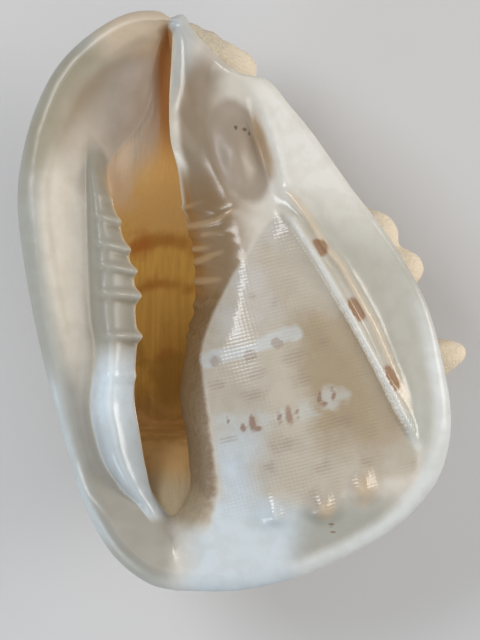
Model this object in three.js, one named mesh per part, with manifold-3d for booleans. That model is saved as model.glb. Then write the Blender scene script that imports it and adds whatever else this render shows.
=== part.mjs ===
// A horned helmet shell: one grown piece, lying on its back with the mouth upward.
// Millimetres, +Z up, +Y toward the siphonal canal, origin at the centre of the base.
import * as THREE from 'three';
import { ParametricGeometry } from 'three/addons/geometries/ParametricGeometry.js';
import { mergeVertices } from 'three/addons/utils/BufferGeometryUtils.js';
import Module from 'manifold-3d';

// ---- driving dimensions -------------------------------------------------------------------

// Height of the mouth plane above the surface the shell rests on.
const FACE_HEIGHT = 124;
// Centre of the base, measured in the plan the outline is drawn in.
const BASE_CENTRE = [0.91, 0.2];

// Columns run round the shell, rings run from the inner end of the hollow out to the back.
const LEFT_COLUMNS = 36;
const RIGHT_COLUMNS = 46;
const HOLLOW_RINGS = 16;
const FACE_RINGS = 17;
const BACK_RINGS = 26;
// The ring that runs where the flared edge meets the coiled body.
const CORNER_RING = 6;

// Edge of the flared lips in plan, from the canal notch down each side to the spire end.
const LIP_OUTLINE = [
  [-29.5, 118.3], [-34, 121], [-46.6, 120.5], [-61.3, 113], [-76, 99.5], [-86.5, 79.8],
  [-92, 59.6], [-93.7, 42.8], [-90.7, 14.3], [-84.4, -18], [-76, -51.7], [-65.5, -85.3],
  [-52.9, -106.7], [-38.2, -118], [-27, -120.8],
];
const SHIELD_OUTLINE = [
  [-29.5, 118.3], [-24, 119.7], [-20.6, 114.2], [-10.9, 103.7], [-0.4, 95.3], [10.9, 92.4],
  [20.6, 81.5], [29, 71.4], [45.8, 47.9], [62.6, 26], [77.3, 0], [85.3, -29.4], [87.8, -45.4],
  [87.4, -58], [82.7, -73.9], [74.3, -85.3], [62.6, -95.8], [45.8, -105.4], [24.8, -114.7],
  [-0.4, -120.5], [-27, -120.8],
];

// The two edges of the mouth in plan, from the canal end down to the spire end.
const MOUTH_OUTER = [
  [-32, 112], [-35, 107], [-37, 95], [-40, 83], [-46, 72], [-54, 64], [-57.5, 57], [-54.5, 44],
  [-50.5, 33], [-47, 21], [-44.2, 10], [-43.6, -4], [-43, -16], [-44.4, -31], [-44.6, -41],
  [-42.4, -54.6], [-40, -68.7], [-36.5, -82], [-29.5, -92],
];
const MOUTH_INNER = [
  [-32, 112], [-29.2, 108], [-28.9, 101], [-29.8, 80.6], [-29.2, 66.6], [-26.5, 55.4],
  [-24.6, 41.2], [-22, 31.1], [-19.8, 21.6], [-19.2, 10], [-19.6, -2], [-21.6, -11],
  [-23.8, -22], [-25.8, -37.8], [-25.2, -46], [-23.2, -55], [-22, -66], [-22, -79], [-29.5, -92],
];

// [distance along the shell, height of the mouth edge below or above the mouth plane].
const OUTER_EDGE_HEIGHT = [
  [-95, -12], [-84, -9], [-50, -8], [0, -9], [44, -10], [57, -14], [64, -19], [72, -23],
  [84, -23], [95, -19], [107, -12], [112, -7],
];
const INNER_EDGE_HEIGHT = [
  [-95, -12], [-80, -14], [-60, -16], [-40, -17], [0, -18], [30, -15], [50, -9], [66, -3],
  [80, 1], [100, 3], [107, 3], [112, -7],
];
// [distance along the shell, width of the slope that falls from the shield to the mouth].
const INNER_SLOPE_WIDTH = [
  [-95, 14], [-80, 13], [-40, 12], [0, 20], [25, 24], [50, 20], [80, 10], [112, 6],
];

// [distance along the shell, place of the furrow outside the toothed ridge].
const RIDGE_FOOT = [
  [-93, -37], [-85, -43], [-77, -51], [-64, -58.8], [-43, -63], [-20.6, -61], [-7, -62.8],
  [13, -63.9], [58, -64.8], [72, -64.3],
];
const RIDGE_HEIGHT = [[-92, 0], [-80, 6], [-60, 10], [-30, 9.5], [0, 8], [40, 6], [60, 3], [72, 0]];
const TEETH = [[34, 1.3], [21.6, 1.5], [13.1, 1.4], [2.5, 2], [-14.4, 2.2], [-31.1, 1]];
const TOOTH_WIDTH = 3.6;

// Half the thickness of the edge and the width of its roll, by turn round the shell.
const EDGE_HALF_THICKNESS = [
  [0, 3], [0.1, 4], [0.25, 5.5], [0.42, 6], [0.5, 6], [0.62, 5.5], [0.75, 3.4], [0.9, 2.4], [1, 3],
];

// The domed earlier whorl that shows through the glaze of the shield.
const DOME = { x: 15, y: -32, height: 10, across: 31, along: 50 };
const VARIX = [[20, 42], [34, 17], [46, -3], [58, -27], [70, -49], [73, -58]];
const VARIX_HEIGHT = 4.2;
const VARIX_WIDTH = 5.5;
const HOLLOW_PIT = { x: 1, y: 62, depth: 9, across: 9.5, along: 21 };

// Coiling axis, from the apex of the spire to the end of the canal.
const APEX = new THREE.Vector3(22, -100, -52);
const CANAL_END = new THREE.Vector3(-30, 118, -42);
// [distance from the apex along the axis, radius of the last whorl].
const WHORL_PROFILE = [
  [20, 0], [25, 20], [30, 36], [37, 52], [46, 66], [56, 74], [68, 77], [85, 78.5], [105, 77.5],
  [122, 73], [140, 65.5], [160, 54], [180, 41], [195, 31], [205, 26], [214, 22], [220, 17],
  [225, 9], [227, 0],
];
const SHOULDER = 60;
const AXIS_LENGTH = APEX.distanceTo(CANAL_END);
// [degrees back from the lip, size of the whorl]; earlier whorls shrink by a constant ratio.
const WHORL_SIZE = [[0, 1], [90, 0.955], [180, 0.92], [215, 0.88], [300, 0.68], [360, 0.56]];
const EARLIER_WHORL_RATIO = 1.75;
const LIP_RISE = 18;
const LIP_RISE_SPREAD = 50;

// Horns and knobs: distance along the axis, degrees back from the lip, height, spread.
const KNOBS = [
  [50, 16, 9, 10], [57, 60, 16.6, 10], [57, 114, 14, 10], [58, 174, 23, 9.5],
  [97, 20, 5, 8], [99, 50, 5, 8], [100, 80, 2.5, 8], [100, 110, 3, 8], [100, 142, 7, 8],
  [100.5, 176, 12, 7.5], [122, 30, 4, 8], [122, 52, 5, 8], [124, 82, 13.8, 9.5], [121, 116, 5, 8],
  [119, 148, 5, 7], [120, 175, 7.5, 7], [204, 170, 6.5, 9],
];
// The canal end turns toward the back: place along the axis, height, length and spread round it.
const CANAL_HOOK = { along: 206, height: 13, length: 13, spread: 55 };

// Hollow of the last whorl: wall thickness and radius of the pillar it turns round.
const WALL = 5.5;
const PILLAR = [[14, 30], [36, 26], [50, 20], [80, 15], [120, 11], [160, 8], [216, 4]];
const HOLLOW_TURN = [-12, 236];
// [distance along the shell, depth the mouth edge falls straight down before it widens].
const MOUTH_THROAT = [[-92, 16], [-70, 22], [70, 22], [95, 16], [112, 6]];
// Distance from the axis up to the highest place the roof of the hollow may reach.
const HOLLOW_ROOF = 37;

// Centre of the rays the back is measured from, in plan.
const RAY_CENTRE = [2, -12];
// [turn round the shell, slope of the underside of the flared edge].
const FLANGE_SLOPE = [
  [0, 1.7], [0.025, 1.2], [0.06, 0.8], [0.13, 0.75], [0.22, 0.45], [0.3, 0.3], [0.44, 0.3],
  [0.52, 0.22], [0.95, 0.25], [0.98, 0.9], [1, 1.7],
];
// Depth under the mouth plane where the underside of the edge stops falling.
const FLANGE_DEPTH = 42;
const FILLET = 14;

// ---- small helpers ------------------------------------------------------------------------

const clamp = (value, low, high) => Math.min(high, Math.max(low, value));
const mix = (a, b, t) => a + (b - a) * t;
const ease = (low, high, value) => {
  const t = clamp((value - low) / (high - low), 0, 1);
  return t * t * (3 - 2 * t);
};
const hump = (value) => Math.exp(-value * value);

// Smooth curve through [place, value] pairs sorted by place.
function through(pairs, place) {
  const last = pairs.length - 1;
  if (place <= pairs[0][0]) return pairs[0][1];
  if (place >= pairs[last][0]) return pairs[last][1];
  let i = 0;
  while (place > pairs[i + 1][0]) i += 1;
  const [x0, y0] = pairs[i];
  const [x1, y1] = pairs[i + 1];
  const step = x1 - x0;
  const chord = (y1 - y0) / step;
  const before = i > 0 ? (y0 - pairs[i - 1][1]) / (x0 - pairs[i - 1][0]) : chord;
  const after = i + 2 <= last ? (pairs[i + 2][1] - y1) / (pairs[i + 2][0] - x1) : chord;
  const start = before * chord > 0 ? (2 * before * chord) / (before + chord) : 0;
  const end = after * chord > 0 ? (2 * after * chord) / (after + chord) : 0;
  const t = (place - x0) / step;
  const t2 = t * t;
  const t3 = t2 * t;
  return (2 * t3 - 3 * t2 + 1) * y0 + (t3 - 2 * t2 + t) * step * start
    + (3 * t2 - 2 * t3) * y1 + (t3 - t2) * step * end;
}

const smoothMax = (a, b, width) => {
  const t = Math.max(width - Math.abs(a - b), 0) / width;
  return Math.max(a, b) + t * t * width * 0.25;
};
const smoothMin = (a, b, width) => -smoothMax(-a, -b, width);

function planCurve(points) {
  const corners = points.map(([x, y]) => new THREE.Vector3(x, y, 0));
  const curve = new THREE.CatmullRomCurve3(corners, false, 'centripetal');
  curve.arcLengthDivisions = 800;
  return curve;
}

// Distance from a point to a line of corners.
function distanceTo(corners, x, y) {
  let best = Infinity;
  for (let i = 0; i + 1 < corners.length; i += 1) {
    const [ax, ay] = corners[i];
    const [bx, by] = corners[i + 1];
    const dx = bx - ax;
    const dy = by - ay;
    const t = clamp(((x - ax) * dx + (y - ay) * dy) / (dx * dx + dy * dy), 0, 1);
    best = Math.min(best, Math.hypot(x - ax - t * dx, y - ay - t * dy));
  }
  return best;
}

const CURVES = {
  lip: planCurve(LIP_OUTLINE),
  shield: planCurve(SHIELD_OUTLINE),
  outer: planCurve(MOUTH_OUTER),
  inner: planCurve(MOUTH_INNER),
};
const COLUMNS = LEFT_COLUMNS + RIGHT_COLUMNS;
const BOTTOM_TURN = LEFT_COLUMNS / COLUMNS;

// Turn 0 is the canal notch, then down the lip to BOTTOM_TURN and up the shield to 1.
function planPoint(turn, leftCurve, rightCurve) {
  if (turn <= BOTTOM_TURN) return leftCurve.getPointAt(turn / BOTTOM_TURN);
  return rightCurve.getPointAt(clamp((1 - turn) / (1 - BOTTOM_TURN), 0, 1));
}

// ---- the face: lips, toothed ridge, pillar side and shield -----------------------------------

// Gentle bend of the whole face across its width.
const faceBend = (x) => -4 * Math.pow(x / 90, 2);

function shieldHeight(x, y) {
  const leanX = (x - DOME.x) * 0.97 + (y - DOME.y) * 0.23;
  const leanY = -(x - DOME.x) * 0.23 + (y - DOME.y) * 0.97;
  const dome = DOME.height * hump(leanX / DOME.across) * hump(leanY / DOME.along);
  const dish = -3 * hump((x - 60) / 15) * hump((y + 5) / 45);
  const varix = VARIX_HEIGHT * hump(distanceTo(VARIX, x, y) / VARIX_WIDTH);
  const pitX = (x - HOLLOW_PIT.x) * 0.95 + (y - HOLLOW_PIT.y) * 0.31;
  const pitY = -(x - HOLLOW_PIT.x) * 0.31 + (y - HOLLOW_PIT.y) * 0.95;
  const pit = HOLLOW_PIT.depth * hump(pitX / HOLLOW_PIT.across) * hump(pitY / HOLLOW_PIT.along);
  return dome + dish + varix - pit + faceBend(x);
}

function lipHeight(x, y, edge, along) {
  const rim = faceBend(x);
  const slope = mix(edge, rim, Math.pow(along, 0.85));
  const foot = through(RIDGE_FOOT, y);
  const ridged = ease(74, 54, y) * ease(-92, -72, y);
  if (ridged === 0) return slope;
  const footHeight = rim - 6.5;
  if (x <= foot) {
    const band = mix(footHeight, rim, ease(0, 22, foot - x));
    return mix(slope, band, ridged);
  }
  const across = clamp((x - foot) / (outerEdgeAt(y) - foot), 0, 1);
  let ridge = mix(footHeight, edge, across);
  ridge += through(RIDGE_HEIGHT, y) * Math.pow(Math.sin(Math.PI * Math.pow(across, 0.85)), 1.5);
  TEETH.forEach(([place, height]) => {
    ridge += height * hump((y - place) / (TOOTH_WIDTH * 0.6)) * ease(0.2, 0.6, across);
  });
  return mix(slope, ridge, ridged);
}

const OUTER_EDGE_PLACES = MOUTH_OUTER.map(([x, y]) => [y, x]).reverse();
function outerEdgeAt(y) {
  return through(OUTER_EDGE_PLACES, y);
}

// One column of the face: places and heights from the mouth edge out to the rim.
function faceColumn(turn) {
  const mouth = planPoint(turn, CURVES.outer, CURVES.inner);
  const rim = planPoint(turn, CURVES.lip, CURVES.shield);
  const span = mouth.distanceTo(rim);
  const half = through(EDGE_HALF_THICKNESS, turn);
  const roll = Math.min(half * 1.5, span * 0.4);
  const rightness = ease(-0.02, 0.02, turn - BOTTOM_TURN) * ease(0.012, -0.012, turn - 0.994);
  const nearTop = turn < 0.5 ? turn : turn - 1;
  const rightSide = turn < 0.5 ? rightness : Math.max(rightness, ease(-0.004, -0.02, nearTop));
  const heightAt = (place) => {
    const x = mix(mouth.x, rim.x, place / span);
    const y = mix(mouth.y, rim.y, place / span);
    const along = clamp(place / (span - roll), 0, 1);
    const outerEdge = through(OUTER_EDGE_HEIGHT, mouth.y);
    const innerEdge = through(INNER_EDGE_HEIGHT, mouth.y);
    const left = lipHeight(x, y, outerEdge, along);
    const width = Math.min(through(INNER_SLOPE_WIDTH, mouth.y), span - roll);
    const fall = 1 - Math.pow(1 - clamp(place / width, 0, 1), 2);
    const right = mix(innerEdge, shieldHeight(x, y), fall);
    let height = mix(left, right, rightSide);
    const inRoll = clamp((place - span + roll) / roll, 0, 1);
    height -= half * (1 - Math.sqrt(1 - inRoll * inRoll));
    return new THREE.Vector3(x, y, height);
  };
  return { mouth, rim, span, half, roll, heightAt };
}

function facePlace(column, ring) {
  const inner = FACE_RINGS - 3;
  if (ring <= inner) return (column.span - column.roll) * Math.pow(ring / inner, 1.15);
  return column.span - column.roll * [0.45, 0.12, 0][ring - inner - 1];
}

// ---- the coiled body -------------------------------------------------------------------------

const AXIS = CANAL_END.clone().sub(APEX).normalize();
const LIPWARD = new THREE.Vector3(-1, 0, 0).addScaledVector(AXIS, AXIS.x).normalize();
const BACKWARD = new THREE.Vector3().crossVectors(LIPWARD, AXIS).normalize();

function whorlSize(degrees) {
  if (degrees <= 360) return through(WHORL_SIZE, degrees);
  return 0.56 * Math.pow(EARLIER_WHORL_RATIO, -(degrees - 360) / 360);
}

const lipRise = (degrees) => LIP_RISE * hump(degrees / LIP_RISE_SPREAD);

function lastWhorl(along, degrees) {
  const size = whorlSize(degrees);
  const risen = along + lipRise(degrees) * ease(120, 40, along);
  const bend = SHOULDER * size;
  const place = risen < bend
    ? risen / size
    : SHOULDER + ((risen - bend) * (AXIS_LENGTH - SHOULDER)) / (AXIS_LENGTH - bend);
  return size * through(WHORL_PROFILE, place);
}

// Radius of the outside of the body at a distance along the axis and an angle back from the lip.
function bodyRadius(along, degrees) {
  let radius = lastWhorl(along, degrees);
  if (degrees > 290) {
    radius = Math.max(radius, lastWhorl(along, 0) * ease(300, 335, degrees));
  }
  radius += CANAL_HOOK.height * hump((along - CANAL_HOOK.along) / CANAL_HOOK.length)
    * hump((degrees - 90) / CANAL_HOOK.spread);
  for (let turn = 1; turn < 6; turn += 1) {
    const size = whorlSize(degrees + 360 * turn);
    radius = Math.max(radius, size * through(WHORL_PROFILE, along / size));
  }
  return radius;
}

function bodyCoordinates(point) {
  const from = point.clone().sub(APEX);
  const along = from.dot(AXIS);
  const lipward = from.dot(LIPWARD);
  const backward = from.dot(BACKWARD);
  const degrees = (THREE.MathUtils.radToDeg(Math.atan2(backward, lipward)) + 360) % 360;
  return { along, degrees, radius: Math.hypot(lipward, backward) };
}

function bodyPoint(along, degrees, radius) {
  const angle = THREE.MathUtils.degToRad(degrees);
  return APEX.clone()
    .addScaledVector(AXIS, along)
    .addScaledVector(LIPWARD, radius * Math.cos(angle))
    .addScaledVector(BACKWARD, radius * Math.sin(angle));
}

const KNOB_BASES = KNOBS.map(([along, degrees, height, spread]) => ({
  base: bodyPoint(along, degrees, bodyRadius(along, degrees)),
  tip: bodyPoint(along, degrees, bodyRadius(along, degrees) + height),
  spread,
}));

function raiseKnobs(point) {
  const raised = point.clone();
  KNOB_BASES.forEach(({ base, tip, spread }) => {
    const share = Math.exp(-Math.pow(point.distanceTo(base) / spread, 1.6));
    raised.addScaledVector(tip.clone().sub(base), share);
  });
  return raised;
}

// Distance from the ray centre to the outside of the body along one direction.
function rayToBody(start, direction) {
  const outside = (distance) => {
    const place = bodyCoordinates(start.clone().addScaledVector(direction, distance));
    return place.radius - bodyRadius(place.along, place.degrees);
  };
  let reach = 4;
  while (reach < 200 && outside(reach) < 0) reach += 3;
  let low = reach - 3;
  let high = reach;
  for (let i = 0; i < 14; i += 1) {
    const middle = (low + high) / 2;
    if (outside(middle) < 0) low = middle;
    else high = middle;
  }
  return (low + high) / 2;
}

// One column of the back, from the middle of the rim to the pole under the body.
function backColumn(turn, face) {
  const edge = face.heightAt(face.span);
  const start = new THREE.Vector3(RAY_CENTRE[0], RAY_CENTRE[1], edge.z);
  const outward = edge.clone().sub(start);
  const reach = outward.length();
  outward.normalize();
  const slope = through(FLANGE_SLOPE, turn);
  const line = [];
  let corner = 0;
  const steps = 160;
  for (let i = 0; i <= steps; i += 1) {
    const angle = (Math.PI / 2) * Math.pow(i / steps, 1.5);
    const flat = Math.cos(angle);
    const down = Math.sin(angle);
    const direction = outward.clone().multiplyScalar(flat);
    direction.z = -down;
    const upright = reach / Math.max(flat, 0.02);
    const under = (face.half + slope * reach) / (slope * flat + down);
    const lowest = FLANGE_DEPTH / Math.max(down, 0.01);
    const flange = smoothMin(upright, smoothMin(under, lowest, 12), face.half);
    const body = rayToBody(start, direction);
    const fillet = FILLET * ease(0, 0.08, angle);
    const distance = i === 0 ? reach : smoothMax(flange, body, Math.max(fillet, 0.01));
    line.push(start.clone().addScaledVector(direction, distance));
    if (corner === 0 && i > 0 && body > flange) corner = i;
  }
  const raised = line.map(raiseKnobs);
  raised[0] = edge;
  const lengths = [0];
  for (let i = 1; i < raised.length; i += 1) {
    lengths.push(lengths[i - 1] + raised[i].distanceTo(raised[i - 1]));
  }
  const total = lengths[lengths.length - 1];
  const at = (distance) => {
    const wanted = clamp(distance, 0, total);
    let i = 1;
    while (i < lengths.length - 1 && lengths[i] < wanted) i += 1;
    const t = (wanted - lengths[i - 1]) / Math.max(lengths[i] - lengths[i - 1], 1e-9);
    return raised[i - 1].clone().lerp(raised[i], clamp(t, 0, 1));
  };
  return { at, length: total, corner: lengths[corner] };
}

// ---- the hollow ------------------------------------------------------------------------------

// Outline of the hollow in the plane through the axis: the outer wall, then the pillar.
const OUTER_WALL = planCurve(
  [[208, 8], [202, 14.5], [193, 22.5], [180, 33.5], [160, 48], [140, 60], [122, 67.5], [105, 72],
    [85, 73], [68, 71.5], [56, 68.5], [48, 61], [41, 50], [38, 40]],
);
const PILLAR_WALL = planCurve(
  [[208, 8], [205, 4], [190, 5], [160, 8], [120, 11], [80, 15], [50, 22], [41, 31], [38, 40]],
);

function hollowPoint(turn, degrees, shrink) {
  const section = planPoint(turn, OUTER_WALL, PILLAR_WALL);
  const along = mix(105, section.x, shrink);
  const radius = mix(38, section.y, shrink);
  const size = whorlSize(Math.max(degrees, 0));
  const bend = SHOULDER * size;
  const place = along < SHOULDER
    ? along * size
    : bend + ((along - SHOULDER) * (AXIS_LENGTH - bend)) / (AXIS_LENGTH - SHOULDER);
  const sunk = place - lipRise(degrees) * ease(120, 40, place);
  const rising = Math.sin(THREE.MathUtils.degToRad(clamp(degrees - 180, 12, 90)));
  return bodyPoint(sunk, degrees, Math.min(radius * size, HOLLOW_ROOF / rising));
}

// Ring 0 is the blind inner end, ring HOLLOW_RINGS is the mouth edge.
function hollowRing(turn, face, ring) {
  const depth = 1 - ring / HOLLOW_RINGS;
  const inward = Math.pow(depth, 1.35);
  const degrees = mix(HOLLOW_TURN[0], HOLLOW_TURN[1], inward);
  const rounded = clamp((depth - 0.72) / 0.28, 0, 1);
  const shrink = Math.sqrt(Math.max(1 - rounded * rounded, 0));
  const inside = hollowPoint(turn, degrees, shrink);
  const edge = face.heightAt(0);
  edge.z -= through(MOUTH_THROAT, edge.y) * ease(0, 0.35, depth);
  return edge.lerp(inside, ease(0.02, 0.36, depth));
}

// ---- the skin --------------------------------------------------------------------------------

const RINGS = HOLLOW_RINGS + FACE_RINGS + BACK_RINGS;
const skin = [];
for (let c = 0; c < COLUMNS; c += 1) {
  const turn = c / COLUMNS;
  const face = faceColumn(turn);
  const back = backColumn(turn, face);
  const end = back.at(back.length);
  const column = [];
  for (let r = 0; r < HOLLOW_RINGS; r += 1) column.push(hollowRing(turn, face, r));
  if (c > 0) column[0] = skin[0][0];
  for (let r = 0; r < FACE_RINGS; r += 1) column.push(face.heightAt(facePlace(face, r)));
  const roundEdge = Math.min(face.half * 2.1, back.corner * 0.5);
  for (let r = 0; r <= BACK_RINGS; r += 1) {
    let distance = roundEdge * [0, 0.45, 1][Math.min(r, 2)];
    if (r > 2) distance = mix(roundEdge, back.corner, (r - 2) / (CORNER_RING - 2));
    if (r > CORNER_RING) {
      distance = mix(back.corner, back.length, (r - CORNER_RING) / (BACK_RINGS - CORNER_RING));
    }
    column.push(r === BACK_RINGS ? end : back.at(distance));
  }
  if (c > 0) column[RINGS] = skin[0][RINGS];
  skin.push(column);
}

function skinPoint(u, v, target) {
  const column = skin[Math.round(u * COLUMNS) % COLUMNS];
  target.copy(column[RINGS - Math.round(v * RINGS)]);
  target.x -= BASE_CENTRE[0];
  target.y -= BASE_CENTRE[1];
  target.z += FACE_HEIGHT;
}

// Merge the seam and the two poles, and drop the triangles that shrink to a line there.
function closedSkin(geometry) {
  geometry.deleteAttribute('normal');
  geometry.deleteAttribute('uv');
  const merged = mergeVertices(geometry, 1e-4);
  const index = merged.index.array;
  const kept = [];
  for (let i = 0; i < index.length; i += 3) {
    const [a, b, c] = [index[i], index[i + 1], index[i + 2]];
    if (a !== b && b !== c && c !== a) kept.push(a, b, c);
  }
  merged.setIndex(kept);
  return merged;
}

const wasm = await Module();
wasm.setup();

function solidOf(geometry) {
  const vertProperties = new Float32Array(geometry.attributes.position.array);
  const triVerts = new Uint32Array(geometry.index.array);
  return new wasm.Manifold(new wasm.Mesh({ numProp: 3, vertProperties, triVerts }));
}

function geometryOf(solid) {
  const mesh = solid.getMesh();
  const geometry = new THREE.BufferGeometry();
  geometry.setAttribute('position', new THREE.BufferAttribute(mesh.vertProperties, 3));
  geometry.setIndex(new THREE.BufferAttribute(mesh.triVerts, 1));
  return geometry;
}

const grown = solidOf(closedSkin(new ParametricGeometry(skinPoint, COLUMNS, RINGS)));
// The knob tips the shell rests on are worn flat.
const floorBlock = new THREE.BoxGeometry(400, 400, 60).translate(0, 0, -30);
floorBlock.deleteAttribute('normal');
floorBlock.deleteAttribute('uv');
const worn = grown.subtract(solidOf(mergeVertices(floorBlock)));

const glaze = new THREE.MeshStandardMaterial({ color: 0xe6dccb, roughness: 0.28, metalness: 0 });
const shell = new THREE.Mesh(geometryOf(worn), glaze);
shell.name = 'shell';

const group = new THREE.Group();
group.add(shell);
export default group;
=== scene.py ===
"""Horned helmet shell lying on its back with the mouth upward: skin, finish, floor, light and camera."""

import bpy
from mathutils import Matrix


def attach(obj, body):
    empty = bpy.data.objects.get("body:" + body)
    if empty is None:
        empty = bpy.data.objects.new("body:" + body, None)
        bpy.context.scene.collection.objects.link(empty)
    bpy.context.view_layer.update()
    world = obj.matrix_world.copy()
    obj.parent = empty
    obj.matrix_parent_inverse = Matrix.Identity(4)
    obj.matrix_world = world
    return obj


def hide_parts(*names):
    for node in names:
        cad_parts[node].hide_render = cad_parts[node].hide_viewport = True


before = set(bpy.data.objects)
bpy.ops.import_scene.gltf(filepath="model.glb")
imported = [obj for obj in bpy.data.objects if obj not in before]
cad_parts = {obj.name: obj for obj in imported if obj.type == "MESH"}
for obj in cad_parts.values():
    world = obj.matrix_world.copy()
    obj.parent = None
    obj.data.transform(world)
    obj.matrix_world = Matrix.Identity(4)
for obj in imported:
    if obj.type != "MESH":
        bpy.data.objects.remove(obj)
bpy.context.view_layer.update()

import logging
import math
from collections.abc import Sequence
from dataclasses import dataclass
from enum import Enum

import bpy
import numpy as np
from numpy.typing import NDArray

Array = NDArray[np.float64]
Pairs = Sequence[tuple[float, float]]
Spots = Sequence[tuple[float, float, float, float]]
Display = tuple[int, int, int]
Socket = bpy.types.NodeSocket
log = logging.getLogger("helmet shell")

# How far the face falls away at this distance from its middle line, in millimetres.
DROOP, DROOP_AT = 4.0, 90.0

# ---- small helpers ---------------------------------------------------------------------------


def ease(low: float, high: float, value: Array | float) -> Array:
    """Smooth step from 0 at low to 1 at high, either way round.

    Args:
        low: Value where the step is 0.
        high: Value where the step is 1.
        value: Where the step is read.

    Returns:
        The step, between 0 and 1.
    """
    t = np.clip((np.asarray(value, float) - low) / (high - low), 0.0, 1.0)
    return t * t * (3.0 - 2.0 * t)


def hump(value: Array | float) -> Array:
    """Bell of height 1 at 0."""
    return np.exp(-np.square(np.asarray(value, float)))


def mix(a: Array | float, b: Array | float, t: Array | float) -> Array:
    """Blend from a to b by t."""
    return a + (b - a) * t


def through(pairs: Pairs, place: Array | float) -> Array:
    """Smooth curve through places and values that never overshoots them.

    Args:
        pairs: Place and value, sorted by place.
        place: Where the curve is read.

    Returns:
        The curve's value at each place.
    """
    x, y = np.array(pairs, float).T
    step = np.diff(x)
    chord = np.diff(y) / step
    left = np.concatenate([chord[:1], chord])
    right = np.concatenate([chord, chord[-1:]])
    product = left * right
    total = np.where(product > 0, left + right, 1.0)
    slope = np.where(product > 0, 2.0 * product / total, 0.0)
    slope[0], slope[-1] = chord[0], chord[-1]
    place = np.clip(np.asarray(place, float), x[0], x[-1])
    i = np.clip(np.searchsorted(x, place, side="right") - 1, 0, len(step) - 1)
    t = (place - x[i]) / step[i]
    t2, t3 = t * t, t * t * t
    return (
        (2 * t3 - 3 * t2 + 1) * y[i]
        + (t3 - 2 * t2 + t) * step[i] * slope[i]
        + (3 * t2 - 2 * t3) * y[i + 1]
        + (t3 - t2) * step[i] * slope[i + 1]
    )


def across_at(line: Pairs, y: Array) -> Array:
    """Place across of a line given from the canal end down, read by place along."""
    return through([(along, across) for across, along in reversed(line)], y)


def droop(x: Array) -> Array:
    """How far the face falls away toward its sides."""
    return DROOP * (x / DROOP_AT) ** 2


def smooth_max(a: Array, b: Array, width: Array | float) -> Array:
    """Larger of a and b with the corner between them rounded over a width."""
    t = np.maximum(width - np.abs(a - b), 0.0) / width
    return np.maximum(a, b) + t * t * width * 0.25


def smooth_min(a: Array, b: Array, width: Array | float) -> Array:
    """Smaller of a and b with the corner between them rounded over a width."""
    return -smooth_max(-a, -b, width)


def nearest_on(corners: Pairs, x: Array, y: Array) -> tuple[Array, Array]:
    """Nearest point of a line of corners.

    Args:
        corners: The line's corners in plan.
        x: Plan places across.
        y: Plan places along.

    Returns:
        Distance to the line, and how far along it the nearest point is, from 0 to 1.
    """
    line = np.array(corners, float)
    length = np.hypot(*np.diff(line, axis=0).T)
    start = np.concatenate([[0.0], np.cumsum(length)])
    best, share = np.full(np.shape(x), np.inf), np.zeros(np.shape(x))
    for i, (a, b) in enumerate(zip(line[:-1], line[1:])):
        d = b - a
        t = np.clip(((x - a[0]) * d[0] + (y - a[1]) * d[1]) / (d @ d), 0.0, 1.0)
        gap = np.hypot(x - a[0] - t * d[0], y - a[1] - t * d[1])
        closer = gap < best
        best = np.where(closer, gap, best)
        share = np.where(closer, (start[i] + t * length[i]) / start[-1], share)
    return best, share


def paint(red: int, green: int, blue: int) -> Array:
    """Linear colour of a display colour given from 0 to 255."""
    c = np.array([red, green, blue], float) / 255.0
    return np.where(c <= 0.04045, c / 12.92, ((c + 0.055) / 1.055) ** 2.4)


class PlanCurve:
    """Smooth open curve through corners in plan, read by share of its length."""

    def __init__(self, corners: Pairs) -> None:
        """Lay the curve.

        Args:
            corners: Points that the curve runs through.
        """
        p = np.array(corners, float)
        p = np.vstack([2 * p[0] - p[1], p, 2 * p[-1] - p[-2]])
        line = []
        for a, b, c, d in zip(p[:-3], p[1:-2], p[2:-1], p[3:]):
            g0, g1, g2 = (math.sqrt(math.dist(*pair)) for pair in ((a, b), (b, c), (c, d)))
            start = ((b - a) / g0 - (c - a) / (g0 + g1) + (c - b) / g1) * g1
            end = ((c - b) / g1 - (d - b) / (g1 + g2) + (d - c) / g2) * g1
            t = np.linspace(0.0, 1.0, 60, endpoint=False)[:, None]
            line.append(
                b + start * t + (3 * (c - b) - 2 * start - end) * t**2
                + (2 * (b - c) + start + end) * t**3
            )
        self.line = np.vstack([*line, p[-2:-1]])
        gaps = np.hypot(*np.diff(self.line, axis=0).T)
        self.reach = np.concatenate([[0.0], np.cumsum(gaps)])
        self.reach /= self.reach[-1]

    def at(self, share: Array) -> Array:
        """Points of the curve at shares of its length.

        Args:
            share: From 0 at the first corner to 1 at the last.

        Returns:
            One row of x and y for each share.
        """
        return np.stack([np.interp(share, self.reach, self.line[:, k]) for k in (0, 1)], axis=-1)


# ---- the growth plan -------------------------------------------------------------------------


@dataclass(frozen=True)
class Proportions:
    """Sizes in millimetres that the whole shell shares; the mouth plane is height 0."""

    face_height: float = 124.0
    base_centre: tuple[float, float] = (0.91, 0.2)
    left_columns: int = 205
    right_columns: int = 255
    hollow_rings: int = 40
    face_rings: int = 90
    back_rings: int = 82
    # Turn at which the lip meets the shield at the spire end.
    bottom_turn: float = 36 / 82

    def turns(self) -> Array:
        """Turn of each column, from the canal notch down the lip and up the shield.

        Returns:
            Values from 0 up to, and not including, 1.
        """
        left = np.arange(self.left_columns) / self.left_columns * self.bottom_turn
        right = np.arange(self.right_columns) / self.right_columns
        return np.concatenate([left, self.bottom_turn + right * (1 - self.bottom_turn)])

    def placed(self, points: Array) -> Array:
        """Millimetres in plan turned into metres in the part's frame.

        Args:
            points: Rows of x, y and height over the mouth plane.

        Returns:
            The same points in metres, none below the surface that the shell rests on.
        """
        out = points - [self.base_centre[0], self.base_centre[1], -self.face_height]
        out[..., 2] = np.maximum(out[..., 2], 0.0)
        return out / 1000.0


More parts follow.
